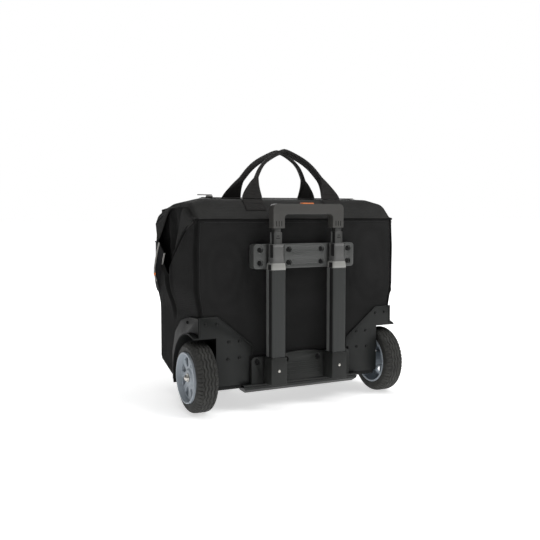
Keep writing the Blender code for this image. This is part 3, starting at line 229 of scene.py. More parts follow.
def woven(name, colour, pitch, roughness=0.85, sheen=0.03, depth=0.00025, painted_end_shade=0.0):
    """Plain weave: threads along all three axes, so every panel shows two of them."""
    s = Shader(name, colour, roughness)
    threads = s.math("ADD", s.waves("X", pitch), s.math("ADD", s.waves("Y", pitch), s.waves("Z", pitch)))
    cloudy = s.noise(9.0, 5.0)
    s.tint(s.math("ADD", s.math("MULTIPLY", cloudy, 0.75), s.math("MULTIPLY", threads, 0.08)), 0.72, 1.30)
    # Painted shade: the base colour is darkened on faces turned to the bag's ends, which lie in shade.
    if painted_end_shade:
        s.shade(s.sideways(), 1.0 - painted_end_shade)
    s.rough(s.noise(60.0), roughness - 0.06, roughness + 0.06)
    s.bump(s.noise(26.0, 4.0), 0.0008, 0.5)
    s.bump(threads, depth, 0.8)
    s.set(Sheen_Weight=sheen, Sheen_Roughness=0.5, Specular_IOR_Level=0.12)
    return s.mat


def moulded(name, colour, roughness, grain=900.0, depth=0.00012, wear=1.35, specular=0.5, painted_end_shade=0.0):
    """Moulded plastic: fine spark-eroded grain, faint cloudiness and paler rubbed edges."""
    s = Shader(name, colour, roughness)
    edges = s.node("ShaderNodeNewGeometry").outputs["Pointiness"]
    rubbed = s.math("ADD", edges, s.math("MULTIPLY", s.noise(45.0, 6.0), 0.18))
    s.tint(s.math("SUBTRACT", rubbed, 0.09), 0.85, wear)
    s.rough(s.noise(30.0, 5.0), roughness - 0.07, roughness + 0.09)
    s.bump(s.noise(grain, 2.0), depth, 0.6)
    s.set(Specular_IOR_Level=specular)
    # Painted shade: a darker base colour and a weaker reflection on faces turned to the bag's ends.
    if painted_end_shade:
        s.shade(s.sideways(), 1.0 - painted_end_shade)
        s.link(s.spread(s.sideways(), specular, specular * (1.0 - painted_end_shade)), s.bsdf.inputs["Specular IOR Level"])
    return s.mat


def metal(name, colour, roughness, grain, metallic=1.0):
    """Drawn or plated metal with a fine grain along its length."""
    s = Shader(name, colour, roughness, metallic)
    mapping = s.node("ShaderNodeMapping", {"Scale": grain})
    s.link(s.coords, mapping.inputs["Vector"])
    s.coords = mapping.outputs["Vector"]
    streaks = s.noise(1.0, 4.0)
    s.tint(streaks, 0.86, 1.10)
    s.rough(streaks, roughness - 0.06, roughness + 0.12)
    s.bump(streaks, 0.00004, 0.4)
    return s.mat


def rubber(name, colour, roughness=0.7):
    s = Shader(name, colour, roughness)
    s.tint(s.noise(70.0, 6.0), 0.75, 1.7)
    s.rough(s.noise(25.0, 4.0), roughness - 0.12, roughness + 0.12)
    s.bump(s.noise(600.0, 3.0), 0.00015, 0.6)
    return s.mat


# painted_end_shade darkens these cloths and the black moulded plastic on faces turned to the bag's ends:
# painted shade.
CANVAS = woven("canvas", (0.0150, 0.0150, 0.0150), 0.0011, painted_end_shade=0.80)
CANVAS_LIGHT = woven("canvas_top", (0.030, 0.030, 0.029), 0.0011, painted_end_shade=0.55)
LINING = woven("lining", (0.16, 0.16, 0.17), 0.0009)
POCKET_CLOTH = woven("pocket_cloth", (0.020, 0.020, 0.021), 0.0009)
WEBBING = woven("webbing", (0.022, 0.021, 0.020), 0.0016, 0.72, 0.05, 0.0004)
BINDING = woven("binding", (0.005, 0.005, 0.005), 0.0008, 0.8, 0.0)
# Near-black painted shade: strips, cords and bolt heads that stand in for the shade of grooves, slots and
# bolt recesses.
SHADE_BLACK = rubber("painted_recess_shade", (0.0015, 0.0015, 0.0015), 0.9)
THREAD = woven("thread", (0.050, 0.050, 0.050), 0.0006, 0.7, 0.03, 0.0001)
PALE_EDGE = woven("pale_edging", (0.42, 0.41, 0.39), 0.0007, 0.7, 0.05)
# Its painted_end_shade paints shade on faces turned to the bag's ends.
PLASTIC = moulded("moulded_black", (0.012, 0.013, 0.0125), 0.38, specular=0.22, painted_end_shade=0.85)
PLASTIC_SATIN = moulded("bracket_black", (0.056, 0.058, 0.056), 0.36, specular=0.45)
PLASTIC_LOW = moulded("lower_bracket_black", (0.018, 0.019, 0.018), 0.38, specular=0.25)
GRIP = moulded("grip_grey", (0.046, 0.045, 0.042), 0.50, 700.0, 0.0002, specular=0.35)
GLOSS = moulded("collar_gloss", (0.10, 0.10, 0.098), 0.24, 300.0, 0.00003)
ORANGE = moulded("orange_plastic", (0.75, 0.20, 0.045), 0.45)
RIM = moulded("rim_grey", (0.34, 0.38, 0.42), 0.42, 500.0, 0.00008, 1.15)
TYRE = rubber("tyre_rubber", (0.022, 0.022, 0.020))
RUBBER = rubber("pad_rubber", (0.015, 0.015, 0.015), 0.85)
CAST = (600.0, 600.0, 600.0)
DRAWN = (900.0, 900.0, 4.0)
STEEL = metal("plated_steel", (0.62, 0.60, 0.56), 0.28, CAST)
NICKEL = metal("dark_nickel", (0.16, 0.155, 0.15), 0.32, CAST)
ANODISED = metal("anodised_tube", (0.037, 0.039, 0.038), 0.36, DRAWN, 0.55)
ANODISED_PALE = metal("anodised_stage", (0.085, 0.086, 0.083), 0.34, DRAWN, 0.55)
# Paler copy of the collar gloss laid over the collar's flare: painted highlight.
GLOSS_HIGHLIGHT = moulded("collar_painted_highlight", (0.24, 0.24, 0.228), 0.20, 300.0, 0.00003)
# Paler strips on the tubes' sides: painted highlight.
FLANK_HIGHLIGHT = moulded("tube_flank_highlight", (0.105, 0.108, 0.105), 0.34, 500.0, 0.00004)
BOARD = moulded("board", (0.05, 0.05, 0.05), 0.75)


# ---------------------------------------------------------------- mesh helpers
def mesh_object(name, verts, faces, mat, angle=40):
    mesh = bpy.data.meshes.new(name)
    mesh.from_pydata([tuple(v) for v in verts], [], [tuple(f) for f in faces])
    mesh.materials.append(mat)
    obj = bpy.data.objects.new(name, mesh)
    bpy.context.scene.collection.objects.link(obj)
    return finish_mesh(obj, angle)


def finish_mesh(obj, angle=40):
    """Outward normals and soft shading with sharp edges past an angle."""
    bm = bmesh.new()
    bm.from_mesh(obj.data)
    bmesh.ops.recalc_face_normals(bm, faces=bm.faces)
    bm.to_mesh(obj.data)
    bm.free()
    obj.data.shade_smooth()
    obj.data.set_sharp_from_angle(angle=math.radians(angle))
    return obj


def grid_faces(rows, columns, wrap_rows=False, wrap_columns=False):
    faces = []
    for i in range(rows if wrap_rows else rows - 1):
        for j in range(columns if wrap_columns else columns - 1):
            a, b = i * columns + j, i * columns + (j + 1) % columns
            c, d = (i + 1) % rows * columns + (j + 1) % columns, (i + 1) % rows * columns + j
            faces.append((a, b, c, d))
    return faces


def unit(value):
    """A value held between 0 and 1."""
    return min(1.0, max(0.0, value))


def quarter(value):
    """Height of a quarter circle at a share of its run."""
    return math.sqrt(max(0.0, 1 - (1 - value) ** 2))


def grid(rows, columns, point):
    """A rows x columns x 3 array from a function of the two shares, 0 to 1."""
    return np.array([[point(i / (rows - 1), j / (columns - 1)) for j in range(columns)] for i in range(rows)])


def resampled(points, count, endpoint=True, measured=3):
    """Evenly spaced points along a path, whose first coordinates give its length."""
    pts = np.array(points, float)
    steps = np.diff(pts[:, :measured], axis=0)
    length = np.concatenate([[0], np.cumsum(np.linalg.norm(steps, axis=1))])
    where = np.linspace(0, length[-1], count, endpoint=endpoint)
    return np.stack([np.interp(where, length, column) for column in pts.T], axis=1)


def three_edges(points):
    """The first side, the last row and the other side of a grid of points."""
    return [tuple(p) for p in (*points[:, 0], *points[-1], *points[::-1, -1])]


def sheet_object(name, points, mat, thickness, wrap_columns=False, offset=-1.0, angle=50):
    """A sheet of fabric from a rows x columns x 3 array, thickened towards the bag's inside."""
    rows, columns = points.shape[:2]
    faces = grid_faces(rows, columns, False, wrap_columns)
    obj = mesh_object(name, points.reshape(-1, 3), faces, mat, angle)
    if sum(f.normal.dot(f.center - MIDDLE) * f.area for f in obj.data.polygons) < 0:
        obj.data.flip_normals()
    thick = obj.modifiers.new("thick", "SOLIDIFY")
    thick.thickness = thickness
    thick.offset = offset
    thick.use_even_offset = True
    return apply_modifiers(obj, angle)


def apply_modifiers(obj, angle=40):
    bpy.context.view_layer.update()
    graph = bpy.context.evaluated_depsgraph_get()
    mesh = bpy.data.meshes.new_from_object(obj.evaluated_get(graph))
    obj.modifiers.clear()
    obj.data = mesh
    return finish_mesh(obj, angle)


def loft_object(name, loops, mat, angle=40):
    """A closed solid through rings of the same number of points."""
    count = len(loops[0])
    verts = [p for loop in loops for p in loop]
    faces = grid_faces(len(loops), count, False, True)
    faces += [tuple(range(count)), tuple(range(len(verts) - count, len(verts)))]
    return mesh_object(name, verts, faces, mat, angle)


def tube(name, path, radius, mat, sides=8):
    """Round cord along a path."""
    path = [Vector(p) for p in path]
    last = len(path) - 1
    normal = (path[1] - path[0]).normalized().orthogonal().normalized()
    rings = []
    for i, p in enumerate(path):
        along = (path[min(i + 1, last)] - path[max(i - 1, 0)]).normalized()
        normal = (normal - along * normal.dot(along)).normalized()
        side = along.cross(normal)
        rings.append([p + normal * math.cos(t) * radius + side * math.sin(t) * radius
                      for t in (2 * math.pi * k / sides for k in range(sides))])
    return loft_object(name, rings, mat, 60)


def turned(name, profile, centre, mat, sides, axis):
    """Profile of (distance along the axis, radius) points spun about it."""
    rings = []
    for d, r in profile:
        ring = []
        for k in range(sides):
            t = 2 * math.pi * k / sides
            c, s = r * math.cos(t), r * math.sin(t)
            ring.append(Vector({"X": (d, c, s), "Y": (c, d, s)}[axis]) + Vector(centre))
        rings.append(ring)
    return loft_object(name, rings, mat, 35)


def joined(name, objects):
    """Several meshes as one piece."""
    bm = bmesh.new()
    mats = []
    for obj in objects:
        for mat in obj.data.materials:
            if mat not in mats:
                mats.append(mat)
        start = len(bm.faces)
        bm.from_mesh(obj.data)
        bm.faces.ensure_lookup_table()
        for face in bm.faces[start:]:
            face.material_index = mats.index(obj.data.materials[face.material_index])
    mesh = bpy.data.meshes.new(name)
    bm.to_mesh(mesh)
    bm.free()
    for mat in mats:
        mesh.materials.append(mat)
    for obj in objects:
        bpy.data.objects.remove(obj, do_unlink=True)
    result = bpy.data.objects.new(name, mesh)
    bpy.context.scene.collection.objects.link(result)
    return result


def place(obj, body, slot, *replaced):
    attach(obj, body)
    if replaced:
        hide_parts(*replaced)
    return obj


def refined(node, mat, bevel, slot, segments=2):
    """The CAD node's own shape with rounded edges."""
    source = NODES[node]
    mesh = source.data.copy()
    obj = bpy.data.objects.new(node + "_finish", mesh)
    bpy.context.scene.collection.objects.link(obj)
    bm = bmesh.new()
    bm.from_mesh(mesh)
    bmesh.ops.remove_doubles(bm, verts=bm.verts, dist=0.00002)
    bmesh.ops.dissolve_limit(bm, angle_limit=math.radians(1.0), verts=bm.verts, edges=bm.edges)
    bm.to_mesh(mesh)
    bm.free()
    mesh.materials.clear()
    mesh.materials.append(mat)
    rounding = obj.modifiers.new("bevel", "BEVEL")
    rounding.width = bevel
    rounding.segments = segments
    rounding.limit_method = "ANGLE"
    rounding.angle_limit = math.radians(28)
    apply_modifiers(obj, 30)
    return place(obj, source["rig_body"], slot, node)


# ---------------------------------------------------------------- fabric shapes
def roof_drop(x):
    """Fall of the ridge near the bag's ends."""
    return RIDGE_DROP * max(0.0, abs(x) / HALF - RIDGE_LEVEL) / (1 - RIDGE_LEVEL)


def ripple(p, scale, seed):
    """Smooth unevenness at a place, the same on every run."""
    return noise.noise(Vector(p) * scale + Vector((seed, seed * 1.7, -seed)))


def interp(x, xs, ys):
    return float(np.interp(x, xs, ys))


# edge of the end panel in (y from the axle, z), from the front to the back
NOTCH = [(-0.2280, 0.4020), (-0.2200, 0.3930), (-0.2127, 0.3800), (-0.2000, 0.3500), (-0.1778, 0.3180),
         (-0.1378, 0.2890), (-0.1208, 0.2850), (-0.1128, 0.3030), (-0.0928, 0.3330), (-0.0648, 0.3550),
         (-0.0368, 0.3800), (0.0070, 0.4070), (0.0335, 0.4117)]
NOTCH_Y = [AXLE.y + y for y, z in NOTCH]
NOTCH_Z = [z for y, z in NOTCH]


def bag_ring(count):
    """Points (x, y, outward normal) round the bag's plan, from the middle of the back, evenly spaced."""
    outline = [(0.0, BACK_Y, 0.0, 1.0)]
    for sx, sy, r, start in ((1, 1, BACK_CORNER, 90), (1, -1, FRONT_CORNER, 0),
                             (-1, -1, FRONT_CORNER, -90), (-1, 1, BACK_CORNER, 180)):
        cx, cy = sx * (HALF - r), (BACK_Y if sy > 0 else FRONT_Y) - sy * r
        for k in range(7):
            t = math.radians(start - 90 * k / 6)
            outline.append((cx + r * math.cos(t), cy + r * math.sin(t), math.cos(t), math.sin(t)))
    outline.append(outline[0])
    ring = resampled(outline, count, False, 2)
    ring[:, 2:] /= np.linalg.norm(ring[:, 2:], axis=1, keepdims=True)
    return ring


def swell(z):
    """How far the soft body stands out past its frame's ends at a height."""
    rise = unit((z - SWELL_RISE[0]) / SWELL_RISE[1])
    fall = unit((z - SWELL_FALL[0]) / SWELL_FALL[1])
    return SWELL * rise * rise * (3 - 2 * rise) * (1 - 0.30 * fall)


def swollen(x, z):
    """An x carried out with the swell, more towards the ends."""
    return x + math.copysign(swell(z), x) * min(1.0, abs(x) / HALF) ** 3


def rounded_end(x, radius):
    """Fall of a soft panel's rounded end."""
    near = unit((abs(x) - (HALF - radius)) / radius)
    return radius * (1 - math.sqrt(1 - near * near))


def shell_limits(x, y):
    """Lowest and highest z of the shell at a place on its plan."""
    low = BOTTOM + 0.030 * unit((AXLE.y - 0.1340 - y) / 0.090)
    if y > BACK_Y - 0.004:
        high = BACK_SEAM
    else:
        along = unit((y - FRONT_Y) / FRONT_CORNER)
        over = FRONT_SEAM - 0.0030 - rounded_end(x, LID_END_RADIUS)
        high = over + (interp(y, NOTCH_Y, NOTCH_Z) - over) * along ** 3
    return low, high


def shell_push(x, y, ny, z):
    """How far the canvas stands out of or falls into its flat panel."""
    if ny > 0.7:
        middle = 1.0 - abs(x / 0.118) ** 4 if abs(x) < 0.118 else 0.0
        wing = math.sin(math.pi * min(1.0, (abs(x) - 0.126) / 0.108)) if abs(x) > 0.126 else 0.0
        rise = math.sin(math.pi * unit((z - 0.20) / 0.212))
        return 0.0022 * wing * rise + 0.0012 * middle * rise + 0.0007 * ripple((x, y, z), 14, 3)
    if ny < -0.7:
        rise = math.sin(math.pi * unit((z - 0.078) / 0.346))
        return 0.0040 * rise * (1 - (x / HALF) ** 4) + 0.0012 * ripple((x, y, z), 12, 5)
    across = (y - FRONT_Y) / (BACK_Y - FRONT_Y)
    rise = unit((z - 0.19) / 0.08) * unit((0.42 - z) / 0.08)
    bulge = 0.0050 * math.sin(math.pi * across) ** 0.7 * rise
    fold_y = AXLE.y + interp(z, (0.19, 0.285), (-0.1078, -0.1208))
    deep = unit((z - 0.185) / 0.08)
    fold = -CREASE_DEPTH * deep * math.exp(-((y - fold_y) / CREASE_WIDTH) ** 2)
    lips = LIP_HEIGHT * deep * sum(math.exp(-((y - fold_y - away) / CREASE_WIDTH) ** 2)
                                   for away in (LIP_AWAY, -LIP_AWAY))
    return bulge + fold + lips + 0.0012 * ripple((x, y, z), 16, 7) * rise


def make_bag_shell():
    columns, rows = 340, 84
    ring = bag_ring(columns)
    points = np.zeros((rows, columns, 3))
    for j, (x, y, nx, ny) in enumerate(ring):
        low, high = shell_limits(x, y)
        for i in range(rows):
            v = i / (rows - 1)
            z = low + 0.0010 + (high - low - 0.0010) * v
            turn = min(1.0, (z - low) / 0.014)
            tuck = -0.0110 * (1 - quarter(turn))
            push = shell_push(x, y, ny, z) * min(1.0, (high - z) / 0.012) + tuck
            points[i, j] = (swollen(x, z) + nx * push, y + ny * push, z)
    shell = sheet_object("bag_shell", points, CANVAS, SHELL_THICK, wrap_columns=True)
    cut_wheel_wells(shell)
    return place(shell, "bag", "canvas", "back_panel", "front_panel", "end_panel_left", "end_panel_right")


def cut_wheel_wells(obj):
    """Take the canvas away where the guards' wheel arches are."""
    cutters = []
    for side in SIDES.values():
        arch = [(AXLE.y + WELL_R * math.cos(t), AXLE.z + WELL_R * math.sin(t))
                for t in np.linspace(0, 2 * math.pi, 48, endpoint=False)]
        ends = (side * WELL_INSIDE, side * WELL_OUTSIDE)
        cutters.append(loft_object("well", [[(x, y, z) for y, z in arch] for x in ends], CANVAS))
    for cutter in cutters:
        modifier = obj.modifiers.new("well", "BOOLEAN")
        modifier.operation = "DIFFERENCE"
        modifier.object = cutter
    apply_modifiers(obj, 50)
    for cutter in cutters:
        bpy.data.objects.remove(cutter, do_unlink=True)


def top_profile(points, steps, radius):
    """A (y, z) path through corner points with its corners rounded, evenly spaced."""
    dense = []
    for i, p in enumerate(points):
        if 0 < i < len(points) - 1:
            p, a, b = (np.array(q) for q in (p, points[i - 1], points[i + 1]))
            da, db = a - p, b - p
            ra = min(radius, np.linalg.norm(da) * 0.45)
            start, end = p + da / np.linalg.norm(da) * ra, p + db / np.linalg.norm(db) * ra
            for t in np.linspace(0, 1, 7):
                dense.append((1 - t) ** 2 * start + 2 * t * (1 - t) * p + t * t * end)
        else:
            dense.append(np.array(p))
    return resampled(dense, steps)


def roof_points(profile, columns, sag, seed, edge_radius=0.008, front_radius=0.008):
    """Grid over the bag's width from a (y, z) profile, with dropping, rounded ends and soft sag."""
    rows = len(profile)
    points = np.zeros((rows, columns, 3))
    for i, (y, z) in enumerate(profile):
        fall = max(0.0, (z - BACK_SEAM) / (TOP - BACK_SEAM))
        inside = math.sin(math.pi * i / (rows - 1))
        radius = interp(y, (FRONT_Y, FRONT_RIDGE_Y), (front_radius, edge_radius))
        for j in range(columns):
            x = -HALF + 2 * HALF * j / (columns - 1)
            drop = roof_drop(x) * fall + rounded_end(x, radius)
            uneven = 0.6 * ripple((x, y, 0), 9, seed) + 0.4 * ripple((x, y, 0), 22, seed + 2)
            soft = sag * inside * (uneven - 0.35)
            points[i, j] = (swollen(x, z - drop), y, z - drop + soft)
    return points


def make_shoulder():
    path = [(BACK_Y, BACK_SEAM), (REAR_RIDGE_Y, RIDGE_Z), (ZIP_Y + 0.0010, TOP)]
    points = roof_points(top_profile(path, 30, 0.016), 150, 0.0028, 11)
    obj = sheet_object("shoulder_canvas", points, CANVAS_LIGHT, TOP_THICK)
    return place(obj, "bag", "canvas", "rear_shoulder")


def make_lid():
    path = [(FRONT_Y - 0.0008, FRONT_SEAM - 0.0040), (FRONT_Y + 0.0080, FRONT_SEAM + 0.0060),
            (FRONT_RIDGE_Y, RIDGE_Z), (ZIP_Y - 0.0010, TOP)]
    points = roof_points(top_profile(path, 44, 0.020), 150, 0.0030, 17, front_radius=LID_END_RADIUS)
    obj = sheet_object("lid_canvas", points[:, ::-1], CANVAS_LIGHT, TOP_THICK)
    return place(obj, "lid", "canvas", "lid")


def ear_object(name, side, top_end, low_points, bulge):
    """Wrap of a top panel down the bag's end: end of its top edge, and its lower edge from the corner."""
    size = 22
    low = resampled(low_points, size)

    def point(s, t):
        a = np.array(low_points[0]) * (1 - s) + np.array(top_end) * s
        y, z = a * (1 - t) + low[round(s * (size - 1))] * t
        out = bulge * math.sin(math.pi * min(1, t * 1.05)) * math.sin(math.pi * min(1.0, s * 1.02)) ** 0.5
        curl = -0.0060 * max(0.0, 1 - t * 4.0) ** 2
        return side * (HALF + swell(z) + 0.0012 + out + curl + 0.0008 * ripple((0, y, z), 30, 4)), y, z

    points = grid(size, size, point)
    return sheet_object(name, points if side > 0 else points[:, ::-1], CANVAS_LIGHT, EAR_THICK, offset=0.0)


def make_ears():
    rear_edge = [(BACK_Y - 0.001, BACK_SEAM), (AXLE.y - 0.0368, 0.3800), (AXLE.y - 0.0648, 0.3550),
                 (AXLE.y - 0.0848, 0.3390)]
    front_edge = [(FRONT_Y + 0.006, 0.4000), (FRONT_Y + 0.014, 0.3800), (FRONT_Y + 0.026, 0.3560)]
    for word, side in SIDES.items():
        rear = ear_object("rear_ear_" + word, side, (AXLE.y - 0.0378, 0.4460), rear_edge, 0.0035)
        place(rear, "bag", "canvas")
        front = ear_object("lid_ear_" + word, side, (AXLE.y - 0.1258, 0.4385), front_edge, 0.0015)
        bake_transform(front)


def gusset_points(side, y_from, y_to, columns, phase):
    """Part of an end's folded gusset, between two places along the bag's depth."""
    def point(v, u):
        y = y_from + (y_to - y_from) * u
        top = interp(y - AXLE.y, (-0.2028, -0.1198, -0.0328, 0.0072), (0.4330, 0.4420, 0.4430, 0.4250))
        z = GUSSET_FOOT + (top - GUSSET_FOOT) * v
        deep = interp(v, (0, 0.35, 1), (0.030, 0.020, 0.0065))
        wave = math.sin(3.0 * math.pi * u + phase + 1.1 * v)
        x = HALF - deep + 0.0055 * wave * interp(v, (0, 0.5, 1), (0.6, 1.0, 0.25))
        x += 0.0020 * ripple((0, y, z), 40, 9 + side)
        return side * (x + 0.7 * swell(z)), y, z

    points = grid(34, columns, point)
    return points if side > 0 else points[:, ::-1]


def make_gussets():
    fold_y = AXLE.y - 0.1148
    for word, side in SIDES.items():
        points = gusset_points(side, AXLE.y + 0.0072, fold_y, 40, 0.3)
        rear = sheet_object("gusset_rear_" + word, points, CANVAS, GUSSET_THICK, offset=0.0)
        place(rear, "bag", "canvas", "gusset_" + word)
        points = gusset_points(side, fold_y, AXLE.y - 0.2048, 34, 0.3 + 3 * math.pi)
        front = sheet_object("gusset_front_" + word, points, CANVAS, GUSSET_THICK, offset=0.0)
        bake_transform(front)


# ---------------------------------------------------------------- seams
def make_piping():
    ys = np.linspace(BACK_Y - 0.006, AXLE.y - 0.0888, 40)
    for word, side in SIDES.items():
        edge = side * (HALF - 0.0035)
        upright = [(edge + side * swell(z), BACK_Y + 0.0002 + 0.0004 * math.sin(z * 60), z)
                   for z in np.linspace(0.2080, BACK_SEAM - 0.0030, 40)]
        place(tube("back_piping_" + word, upright, PIPING, BINDING), "bag", "canvas")
        down = [(side * (HALF + swell(z) + 0.0018), y, z)
                for y, z in zip(ys, np.interp(ys, NOTCH_Y, NOTCH_Z))]
        bend = [(swollen(side * HALF * 0.975, BACK_SEAM), BACK_Y + 0.0010, BACK_SEAM),
                (swollen(side * (HALF - 0.001), BACK_SEAM), BACK_Y - 0.0015, BACK_SEAM)]
        place(tube("corner_piping_" + word, bend + down, CORNER_PIPING, BINDING), "bag", "canvas")
    across = [(x, BACK_Y + 0.0010, BACK_SEAM + 0.0004 * math.sin(x * 40))
              for x in np.linspace(-HALF, HALF, 90)]
    place(tube("top_piping", across, PIPING, BINDING), "bag", "canvas")
    front = [(x, FRONT_Y - 0.0012, FRONT_SEAM + 0.0010) for x in np.linspace(-HALF * 0.96, HALF * 0.96, 90)]
    place(tube("front_piping", front, PIPING, BINDING), "bag", "canvas")


def stitches(name, path, length=0.0030, gap=0.0016, radius=0.00035, lift=(0, 0, 0)):
    """A row of separate thread stitches laid along a path."""
    path = [Vector(p) + Vector(lift) for p in path]
    lengths = np.concatenate([[0], np.cumsum([(b - a).length for a, b in zip(path, path[1:])])])
    coords = np.array([tuple(p) for p in path])
    pieces = []
    start = gap
    while start + length < lengths[-1]:
        ends = [Vector([float(np.interp(d, lengths, coords[:, k])) for k in range(3)])
                for d in (start, start + length / 2, start + length)]
        pieces.append(tube("stitch", ends, radius, THREAD, 5))
        start += length + gap
    return joined(name, pieces)


def stitched_box(name, centre, across, along, normal, width, length):
    """A sewn rectangle with a cross in it, on a strap's foot."""
    c, a, b = Vector(centre), Vector(across) * width / 2, Vector(along) * length / 2
    corners = [c - a - b, c + a - b, c + a + b, c - a + b]
    lift = Vector(normal) * 0.0004
    rows = [stitches("side", corners + corners[:1], lift=lift)]
    rows += [stitches("cross", pair, lift=lift) for pair in (corners[::2], corners[1::2])]
    return joined(name, rows)


def make_seams():
    """Rows of thread beside the back's piping."""
    lines = []
    for side in SIDES.values():
        x = side * (HALF - 0.0090)
        upright = [(swollen(x, z), BACK_Y + 0.0007, z) for z in np.linspace(0.212, BACK_SEAM - 0.006, 20)]
        lines.append(stitches("row", upright))
    across = [(x, BACK_Y + 0.0006, BACK_SEAM - 0.0062) for x in np.linspace(-0.228, 0.228, 40)]
    lines.append(stitches("row", across))
    place(joined("back_stitching", lines), "bag", "canvas")


# ---------------------------------------------------------------- carry handles
STRAP = {"span": 0.1000, "rise": 0.1180, "foot": 0.0480, "grip": 0.0230, "thick": 0.0030, "folded": 0.0080}
STRAP_GAP = 0.0012
STRAP_SEWN = 0.0220
STRAP_FOLD = (0.006, 0.046)    # rise at which the webbing starts to fold, and over what rise it does
STRAP_TURN = (0.03, 0.02)      # and the same for its turn out of level
STRAP_START = math.radians(2)  # how far up its arc the loop starts
HANDLE_Z = RIDGE_Z + 0.0003


def bowed(value):
    """A sine or cosine drawn in, which straightens the legs of a loop."""
    return math.copysign(abs(value) ** 1.25, value)


def strap_loops(pivot, towards, steps=84):
    reach = (REAR_RIDGE_Y - FRONT_RIDGE_Y) / 2 - STRAP["grip"] / 2 - STRAP_GAP
    lean = towards * math.asin(reach / STRAP["rise"])
    up = Vector((0, math.sin(lean), math.cos(lean)))
    out = Vector((0, math.cos(lean), -math.sin(lean)))
    loops = []
    for i in range(steps + 1):
        t = STRAP_START + (math.pi - 2 * STRAP_START) * i / steps
        run = STRAP["span"] * bowed(math.cos(t))
        rise = STRAP["rise"] * bowed(math.sin(t))
        fold = unit((rise - STRAP_FOLD[0]) / STRAP_FOLD[1]) ** 1.2
        wide = STRAP["foot"] / 2 * (1 - fold) + STRAP["folded"] / 2 * fold
        deep = STRAP["thick"] / 2 * (1 - fold) + STRAP["grip"] / 2 * fold
        level = 1 - unit((rise - STRAP_TURN[0]) / STRAP_TURN[1])
        normal = Vector((run / STRAP["span"] ** 2, rise / STRAP["rise"] ** 2)).normalized()
        normal = normal.lerp(Vector((math.copysign(1, math.cos(t)), 0)), level).normalized()
        middle = Vector(pivot) + Vector((run, 0, 0)) + up * rise
        side = Vector((normal.x, 0, 0)) + up * normal.y
        waver = 0.0009 * math.sin(t * 9) * fold
        loops.append([middle + side * (a * wide + waver) + out * (b * deep * (1 - 0.10 * fold * abs(a)))
                      for a, b in strap_ring(fold)])
    return loops


def strap_ring(fold):
    """Webbing section: thick selvedges and slightly hollow faces."""
    ring = []
    for k in range(24):
        t = 2 * math.pi * k / 24
        c, s = math.cos(t), math.sin(t)
        power = 0.34 + 0.30 * fold
        a = math.copysign(abs(c) ** power, c)
        b = math.copysign(abs(s) ** power, s)
        hollow = 1 - 0.14 * (1 - abs(a)) ** 0.5
        ring.append((a, b * hollow))
    return ring


def make_handles():
    for name, body, y, towards in (("rear_handle", "rear_carry_handle", REAR_RIDGE_Y, -1),
                                   ("front_handle", "front_carry_handle", FRONT_RIDGE_Y, 1)):
        loops = strap_loops((0, y, HANDLE_Z), towards)
        place(loft_object(name + "_webbing", loops, WEBBING, 50), body, "webbing", name)
        edges = [stitches("edge", [loop[k] for loop in loops[3:-3]], 0.0026, 0.0018, 0.0004)
                 for k in (4, 8, 16, 20)]
        place(joined(name + "_stitching", edges), body, "webbing")
    tabs = (("rear_handle_tab_", "bag", REAR_RIDGE_Y, (BACK_Y - REAR_RIDGE_Y, BACK_SEAM - RIDGE_Z)),
            ("lid_handle_tab_", "lid", FRONT_RIDGE_Y,
             (FRONT_Y - FRONT_RIDGE_Y, FRONT_SEAM + 0.004 - RIDGE_Z)))
    for prefix, body, y, run in tabs:
        for word, side in SIDES.items():
            make_handle_tab(prefix + word, body, side, y, run)


def make_handle_tab(node, body, side, y, run):
    along = Vector((0, *run)).normalized()
    normal = Vector((0, -along.z, along.y))
    if normal.z < 0:
        normal.negate()
    start = Vector((side * STRAP["span"], y, HANDLE_Z)) + along * 0.0006 + normal * 0.0002
    loops = []
    for i in range(14):
        v = i / 13
        p = start + along * (v * (STRAP_SEWN + 0.0090))
        thick = interp(v, (0, 0.3, 0.96, 1), (0.0009, 0.0021, 0.0021, 0.0010))
        loops.append([p + Vector((a * STRAP["foot"] / 2, 0, 0)) + normal * ((b + 1) / 2 * thick)
                      for a, b in strap_ring(0)])
    place(loft_object(node + "_webbing", loops, WEBBING, 50), body, "webbing", node)
    centre = start + along * (STRAP_SEWN * 0.92) + normal * 0.0020
    place(stitched_box(node + "_stitching", centre, (1, 0, 0), along, normal, STRAP["foot"] - 0.009,
                       STRAP_SEWN * 0.66), body, "webbing")


# ---------------------------------------------------------------- zip
def make_zip():
    for node, body in (("zip_tape_rear", "bag"), ("zip_tape_lid", "lid")):
        low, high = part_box(node)
        rows = []
        toward = -1 if node == "zip_tape_rear" else 1
        for j in range(9):
            v = j / 8
            y = low.y + (high.y - low.y) * v
            rows.append([(x, y, high.z + 0.0003 * math.sin(math.pi * v) + 0.0004 * ripple((x, y, 0), 20, 3))
                         for x in np.linspace(low.x, high.x, 120)])
        tape = sheet_object(node + "_cloth", np.array(rows), WEBBING, 0.0009)
        place(tape, body, "webbing", node)
        edge = low.y if toward < 0 else high.y
        place(make_teeth(node + "_teeth", low.x, high.x, edge, toward, high.z), body, "steel")
    refined("zip_slider", NICKEL, 0.0011, "steel", 3)
    refined("zip_pull", NICKEL, 0.0006, "steel", 3)


